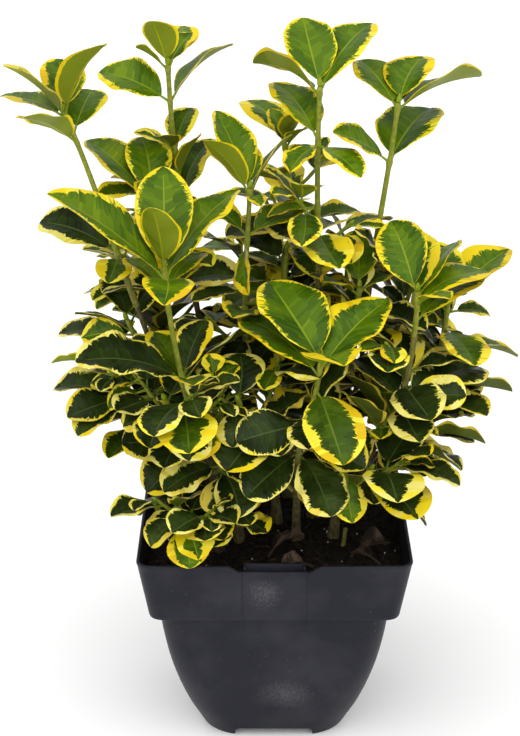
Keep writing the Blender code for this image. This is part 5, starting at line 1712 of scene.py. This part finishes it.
def pot_finish():
    """Moulded anthracite plastic with dust in specks and faint scuffs."""
    mat, tree, shader = plain_material("pot_plastic_moulded", (0.009, 0.009, 0.015), 0.46, 0.18)
    link = tree.links.new
    coord = node(tree, "ShaderNodeTexCoord")
    specks = node(tree, "ShaderNodeTexVoronoi", Scale=260.0)
    speck_size = node(tree, "ShaderNodeMapRange")
    speck_size.inputs["From Min"].default_value = 0.05
    speck_size.inputs["From Max"].default_value = 0.13
    speck_size.inputs["To Min"].default_value = 1.0
    speck_size.inputs["To Max"].default_value = 0.0
    where = node(tree, "ShaderNodeTexNoise", Scale=22.0, Detail=4.0)
    where_range = node(tree, "ShaderNodeMapRange")
    where_range.inputs["From Min"].default_value = 0.52
    where_range.inputs["From Max"].default_value = 0.66
    both = node(tree, "ShaderNodeMath", operation="MULTIPLY")
    spots = []
    for at, size in DUST:
        place = node(tree, "ShaderNodeMapping")
        place.inputs["Location"].default_value = [-a / b for a, b in zip((Vector(at) + SHIFT) * MM, size)]
        place.inputs["Scale"].default_value = [1.0 / b for b in size]
        ball = node(tree, "ShaderNodeTexGradient", gradient_type="SPHERICAL")
        link(coord.outputs["Object"], place.inputs["Vector"])
        link(place.outputs["Vector"], ball.inputs["Vector"])
        spots.append(ball)
    near = node(tree, "ShaderNodeMath", operation="ADD")
    powder = node(tree, "ShaderNodeTexNoise", Scale=620.0, Detail=3.0)
    grit = node(tree, "ShaderNodeMath", operation="MULTIPLY")
    grit_range = node(tree, "ShaderNodeMapRange")
    grit_range.inputs["From Min"].default_value = 0.18
    grit_range.inputs["From Max"].default_value = 0.50
    grit_range.inputs["To Max"].default_value = 0.50
    dusty = node(tree, "ShaderNodeMath", operation="ADD", use_clamp=True)
    film = node(tree, "ShaderNodeTexNoise", Scale=16.0, Detail=7.0, Roughness=0.65)
    film_range = node(tree, "ShaderNodeMapRange")
    film_range.inputs["From Min"].default_value = 0.45
    film_range.inputs["From Max"].default_value = 0.85
    film_range.inputs["To Max"].default_value = 0.30
    total = node(tree, "ShaderNodeMath", operation="ADD", use_clamp=True)
    mix = node(tree, "ShaderNodeMix", data_type="RGBA")
    mix.inputs[6].default_value = (0.0085, 0.0090, 0.0150, 1.0)
    mix.inputs[7].default_value = (0.085, 0.085, 0.095, 1.0)
    grain = node(tree, "ShaderNodeTexNoise", Scale=1500.0, Detail=2.0)
    bump = node(tree, "ShaderNodeBump", Strength=0.14, Distance=0.0003)
    shine = node(tree, "ShaderNodeMapRange")
    shine.inputs["To Min"].default_value = 0.36
    shine.inputs["To Max"].default_value = 0.58
    for texture in (specks, where, film, grain):
        link(coord.outputs["Object"], texture.inputs["Vector"])
    link(specks.outputs["Distance"], speck_size.inputs["Value"])
    link(where.outputs["Fac"], where_range.inputs["Value"])
    link(speck_size.outputs["Result"], both.inputs[0])
    link(where_range.outputs["Result"], both.inputs[1])
    link(film.outputs["Fac"], film_range.inputs["Value"])
    link(coord.outputs["Object"], powder.inputs["Vector"])
    link(spots[0].outputs["Fac"], near.inputs[0])
    link(spots[1].outputs["Fac"], near.inputs[1])
    link(near.outputs["Value"], grit.inputs[0])
    link(powder.outputs["Fac"], grit.inputs[1])
    link(grit.outputs["Value"], grit_range.inputs["Value"])
    link(both.outputs["Value"], dusty.inputs[0])
    link(grit_range.outputs["Result"], dusty.inputs[1])
    link(dusty.outputs["Value"], total.inputs[0])
    link(film_range.outputs["Result"], total.inputs[1])
    link(total.outputs["Value"], mix.inputs["Factor"])
    link(mix.outputs[2], shader.inputs["Base Color"])
    link(film.outputs["Fac"], shine.inputs["Value"])
    link(shine.outputs["Result"], shader.inputs["Roughness"])
    link(grain.outputs["Fac"], bump.inputs["Height"])
    link(bump.outputs["Normal"], shader.inputs["Normal"])
    return mat


def make_materials():
    materials = {name: leaf_finish(name, *row) for name, row in LEAF_FINISHES.items()}
    materials["bark"] = mixed_finish("bark", (0.036, 0.029, 0.013), (0.130, 0.115, 0.045), 420.0,
                                     0.72, 0.5, 0.0008, (1.0, 1.0, 0.35))
    materials["twig_fresh"] = mixed_finish("twig_fresh", (0.135, 0.175, 0.016),
                                           (0.290, 0.290, 0.030), 300.0, 0.48, 0.2)
    materials["twig_old"] = mixed_finish("twig_old", (0.090, 0.095, 0.018), (0.250, 0.225, 0.055),
                                         380.0, 0.6, 0.35)
    materials["soil_mix"] = mixed_finish("soil_mix", (0.003, 0.0025, 0.002), (0.020, 0.014, 0.010),
                                         260.0, 0.92, 0.9, 0.0012)
    materials["soil_bark"] = mixed_finish("soil_bark", (0.011, 0.007, 0.004),
                                          (0.055, 0.034, 0.020), 300.0, 0.88, 0.6)
    materials["soil_grain"] = mixed_finish("soil_grain", (0.30, 0.28, 0.24), (0.55, 0.53, 0.48),
                                           900.0, 0.8, 0.3)
    materials["pot"] = pot_finish()
    return materials


# Corner segments and rows of the fine pot
POT_STEPS = 14
ROWS_BETWEEN = 4
SHOULDER_STEPS = 10


def fine_rows(rows, steps):
    """A profile's rows with smooth ones between them."""
    out = []
    ends = [rows[0]] + list(rows) + [rows[-1]]
    for i in range(1, len(ends) - 2):
        for k in range(steps):
            t = k / steps
            out.append(tuple(
                0.5 * (2 * b + (c - a) * t + (2 * a - 5 * b + 4 * c - d) * t * t
                       + (3 * b - a - 3 * c + d) * t**3)
                for a, b, c, d in zip(*ends[i - 1:i + 3])))
    out.append(tuple(rows[-1]))
    return out


def pot_profile():
    """Height, half width and corner radius, up the outside, over the lip and down inside."""
    foot = POT_H - COLLAR_H
    rows = [BOWL[0], (0.3, BOWL[0][1] + 0.4, 27.5)] + fine_rows(BOWL[1:], ROWS_BETWEEN)
    rows += [
        (foot, COLLAR_FOOT_HALF - 2.6, 7.0), (foot + 0.25, COLLAR_FOOT_HALF - 1.5, 7.6),
        (foot + 0.9, COLLAR_FOOT_HALF - 0.55, 8.1), (foot + 2.0, COLLAR_FOOT_HALF - 0.08, 8.5),
        (foot + 3.4, COLLAR_FOOT_HALF + 0.16, 8.6),
    ]
    for k in range(1, 9):
        z = foot + 3.4 + (COLLAR_H - 5.6) * k / 8
        rows.append((z, collar_half(z), 8.6 + 0.4 * k / 8))
    rows += [(POT_H - 1.5, RIM_HALF + 0.1, 9.2), (POT_H - 0.5, RIM_HALF + 0.12, 9.2),
             (POT_H - 0.12, RIM_HALF - 0.1, 9.0), (POT_H, RIM_HALF - 0.5, 8.6),
             (POT_H, RIM_HALF - WALL + 0.3, 7.9), (POT_H - 0.15, RIM_HALF - WALL, 7.6)]
    z1, h1, _ = LINING[1]
    for k in range(1, 5):
        t = k / 4
        rows.append((POT_H + (z1 - POT_H) * t, RIM_HALF - WALL + (h1 - RIM_HALF + WALL) * t, 7.5))
    rows.append(LINING[2])
    for z in INSIDE_Z:
        half, radius = bowl_at(z)
        rows.append((z, half - WALL, radius - WALL))
    half, radius = bowl_at(FLOOR_Z)
    inset = WALL + 3.0
    rows.append((FLOOR_Z, half - inset, radius - inset))
    return rows


def pick(obj, kind, test):
    """Selects the vertices, edges or faces whose middle passes a test, in the pot's millimetres."""
    bpy.ops.mesh.select_mode(type=kind)
    bpy.ops.mesh.select_all(action="DESELECT")
    bm = bmesh.from_edit_mesh(obj.data)
    for part in {"VERT": bm.verts, "EDGE": bm.edges, "FACE": bm.faces}[kind]:
        corners = [part] if kind == "VERT" else part.verts
        middle = sum((v.co for v in corners), Vector()) / len(corners)
        part.select_set(bool(test(middle / MM - SHIFT)))
    bm.select_flush_mode()
    bmesh.update_edit_mesh(obj.data)


def round_corners(obj, half, was, radius):
    """Gives the selected ring's corners another radius, each scaled about its sharp corner."""
    if abs(was / radius - 1.0) < 0.002:
        return
    bm = bmesh.from_edit_mesh(obj.data)
    ring = [v.index for v in bm.verts if v.select]
    for sx in (-1, 1):
        for sy in (-1, 1):
            bm = bmesh.from_edit_mesh(obj.data)
            bm.verts.ensure_lookup_table()
            bpy.ops.mesh.select_all(action="DESELECT")
            for k in ring:
                at = bm.verts[k].co / MM - SHIFT
                if at.x * sx > 0 and at.y * sy > 0:
                    bm.verts[k].select_set(True)
            bm.select_flush_mode()
            centre = (Vector((sx * half, sy * half, 0.0)) + SHIFT) * MM
            k = radius / was
            bpy.ops.transform.resize(value=(k, k, 1.0), center_override=centre)
    bm = bmesh.from_edit_mesh(obj.data)
    bm.verts.ensure_lookup_table()
    for k in ring:
        bm.verts[k].select_set(True)
    bm.select_flush_mode()


def moulded(name, rows):
    """A square body with round corners: a plane, its corners bevelled, raised ring by ring."""
    z, half, radius = rows[0]
    bpy.ops.object.select_all(action="DESELECT")
    place = (Vector((0.0, 0.0, z)) + SHIFT) * MM
    bpy.ops.mesh.primitive_plane_add(size=2.0 * half * MM, location=place)
    body = bpy.context.active_object
    body.name = name
    bpy.ops.object.transform_apply(location=True, rotation=False, scale=False)
    bpy.ops.object.mode_set(mode="EDIT")
    bpy.ops.mesh.select_mode(type="VERT")
    bpy.ops.mesh.select_all(action="SELECT")
    bpy.ops.mesh.bevel(offset=radius * MM, segments=POT_STEPS, affect="VERTICES")
    bm = bmesh.from_edit_mesh(body.data)
    edge = [v.co / MM - SHIFT for v in bm.verts]
    was = half - max(at.y for at in edge if at.x > half - 0.001)
    round_corners(body, half, was, radius)
    for (z0, half0, radius0), (z1, half1, radius1) in zip(rows, rows[1:]):
        rise = (0.0, 0.0, (z1 - z0) * MM)
        bpy.ops.mesh.extrude_region_move(TRANSFORM_OT_translate={"value": rise})
        k = half1 / half0
        bpy.ops.transform.resize(value=(k, k, 1.0), center_override=SHIFT * MM)
        round_corners(body, half1, radius0 * k, radius1)
    bpy.ops.mesh.select_all(action="SELECT")
    bpy.ops.mesh.normals_make_consistent(inside=False)
    bpy.ops.object.mode_set(mode="OBJECT")
    return body


def boxed(name, low, high):
    """A box between two corners."""
    low = Vector(low)
    high = Vector(high)
    bpy.ops.object.select_all(action="DESELECT")
    bpy.ops.mesh.primitive_cube_add(size=1.0, location=((low + high) / 2 + SHIFT) * MM,
                                    scale=(high - low) * MM)
    box = bpy.context.active_object
    box.name = name
    bpy.ops.object.transform_apply(location=True, rotation=False, scale=True)
    return box


def notch_cutter(axis, side):
    """A box across one side of the foot, its two upper edges rounded."""
    reach = BOWL[0][1]
    near, far = sorted((side * (reach + 10.0), side * (reach - SKIRT)))
    if axis == "x":
        box = boxed("notch_cutter", (near, -NOTCH_HALF, -2.0), (far, NOTCH_HALF, NOTCH_H))
    else:
        box = boxed("notch_cutter", (-NOTCH_HALF, near, -2.0), (NOTCH_HALF, far, NOTCH_H))
    across = 1 if axis == "x" else 0
    bpy.ops.object.mode_set(mode="EDIT")
    pick(box, "EDGE", lambda at: at.z > NOTCH_H - 0.1 and abs(at[across]) > NOTCH_HALF - 0.1)
    bpy.ops.mesh.bevel(offset=sum(NOTCH_ROUND) / 2 * MM, segments=8, affect="EDGES")
    bpy.ops.object.mode_set(mode="OBJECT")
    return box


def dip_cutter():
    """A box over the level floor of the dip, its ends drawn outwards while they rise."""
    floor = POT_H - DIP_DEPTH
    box = boxed("dip_cutter", (-DIP_FLAT, -RIM_HALF - 4.0, floor),
                (DIP_FLAT, -RIM_HALF + 4.0, POT_H + 3.0))
    bpy.ops.object.mode_set(mode="EDIT")
    for side in (-1, 1):
        end = DIP_FLAT
        height = floor
        for i in range(1, SHOULDER_STEPS + 1):
            t = i / SHOULDER_STEPS
            pick(box, "FACE", lambda at: at.x * side > end - 0.01)
            step = (DIP_TOP - DIP_FLAT) / SHOULDER_STEPS
            bpy.ops.mesh.extrude_region_move(
                TRANSFORM_OT_translate={"value": (side * step * MM, 0.0, 0.0)})
            end += step
            low = height
            height = floor + (DIP_DEPTH + 0.08) * t * t * (3.0 - 2.0 * t)
            pick(box, "VERT", lambda at: at.x * side > end - 0.01 and at.z < low + 0.01)
            bpy.ops.transform.translate(value=(0.0, 0.0, (height - low) * MM))
    bpy.ops.mesh.select_all(action="SELECT")
    bpy.ops.mesh.normals_make_consistent(inside=False)
    bpy.ops.object.mode_set(mode="OBJECT")
    return box


def panel_cutter():
    """A box before the collar, its back leaned with the collar's own slope."""
    z0 = POT_H - COLLAR_H - 1.0
    z1 = POT_H + 2.0
    back = PANEL_DEPTH - collar_half(z0)
    box = boxed("panel_cutter", (-PANEL_HALF, -RIM_HALF - 10.0, z0), (PANEL_HALF, back, z1))
    lean = collar_half(z0) - collar_half(z1)
    bpy.ops.object.mode_set(mode="EDIT")
    pick(box, "VERT", lambda at: at.y > back - 0.1 and at.z > z1 - 0.1)
    bpy.ops.transform.translate(value=(0.0, lean * MM, 0.0))
    bpy.ops.object.mode_set(mode="OBJECT")
    return box


def trim(obj, cutter, operation="DIFFERENCE"):
    """A Boolean that is applied, after which its cutter is gone."""
    bpy.ops.object.select_all(action="DESELECT")
    mod = obj.modifiers.new("trim", "BOOLEAN")
    mod.operation = operation
    mod.solver = "EXACT"
    mod.object = cutter
    bpy.context.view_layer.objects.active = obj
    bpy.ops.object.modifier_apply(modifier=mod.name)
    bpy.data.objects.remove(cutter, do_unlink=True)


def make_pot(materials):
    """The moulded pot: collar over a bowl, dip and panel in front, tag pocket, feet."""
    pot = moulded("nursery_pot", pot_profile())
    recess = []
    for z in (-2.0, FLOOR_Z - WALL - 0.6, FLOOR_Z - WALL):
        half, radius = bowl_at(max(z, 0.0))
        off = SKIRT + (0.6 if z == FLOOR_Z - WALL else 0.0)
        recess.append((z, half - off, radius - off))
    trim(pot, moulded("underside_cutter", recess))
    for axis in ("x", "y"):
        for side in (-1, 1):
            trim(pot, notch_cutter(axis, side))
    trim(pot, panel_cutter())
    z0, z1 = TAB_Z
    front = 0.7 - collar_half(z0)
    back = front + TAB_DEPTH
    trim(pot, boxed("tag_pocket", (-TAB_HALF, front, z0), (TAB_HALF, back, z1)), "UNION")
    side = TAB_HALF - TAB_WALL
    room = boxed("tag_room", (-side, front + 0.3, z0 + TAB_WALL), (side, back - TAB_WALL, z1 + 4.0))
    trim(pot, room)
    trim(pot, dip_cutter())
    soft = pot.modifiers.new("moulded_edges", "BEVEL")
    soft.width = 0.25 * MM
    soft.segments = 2
    soft.limit_method = "ANGLE"
    soft.angle_limit = math.radians(50)
    bpy.context.view_layer.objects.active = pot
    bpy.ops.object.modifier_apply(modifier=soft.name)
    pot.data.materials.clear()
    pot.data.materials.append(materials["pot"])
    bpy.ops.object.select_all(action="DESELECT")
    pot.select_set(True)
    bpy.ops.object.shade_smooth_by_angle(angle=math.radians(32))
    pot.select_set(False)
    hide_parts("pot")
    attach(pot, BODY)


def make_stage():
    """A pale floor, soft light from above and both sides, and the camera."""
    bpy.ops.mesh.primitive_plane_add(size=40.0, location=(0, 0, 0))
    floor = bpy.context.active_object
    floor.name = "floor"
    mat, _, shader = plain_material("floor_pale", (0.95, 0.95, 0.95), 0.9, 0.1)
    floor.data.materials.append(mat)
    world = bpy.data.worlds.new("studio")
    bpy.context.scene.world = world
    world.use_nodes = True
    world.node_tree.nodes["Background"].inputs["Color"].default_value = (1.0, 1.0, 1.0, 1.0)
    world.node_tree.nodes["Background"].inputs["Strength"].default_value = 0.83
    for name, aim, soft, power in (
        ("key", (0.30, 0.66, -1.0), 90.0, 1.6),
        ("fill", (-0.60, 0.85, -0.55), 100.0, 0.75),
    ):
        data = bpy.data.lights.new(name, "SUN")
        data.angle = math.radians(soft)
        data.energy = power
        lamp = bpy.data.objects.new(name, data)
        lamp.location = (0.0, 0.0, 1.5)
        lamp.rotation_euler = Vector(aim).to_track_quat("-Z", "Y").to_euler()
        bpy.context.scene.collection.objects.link(lamp)
    data = bpy.data.cameras.new("camera")
    data.lens = 88.2
    data.sensor_width = 36.0
    data.clip_end = 20.0
    camera = bpy.data.objects.new("camera", data)
    camera.location = (Vector((-9.0, -1059.5, 669.6)) + SHIFT) * MM
    camera.rotation_euler = (math.radians(68.0), 0.0, 0.0)
    bpy.context.scene.collection.objects.link(camera)
    bpy.context.scene.camera = camera
    bpy.context.scene.view_settings.view_transform = "Standard"


make_stage()
finishes = make_materials()
limbs, plants = grow()
make_bark(finishes, limbs)
make_foliage(finishes, plants)
make_soil(finishes)
make_fallen(finishes)
make_pot(finishes)
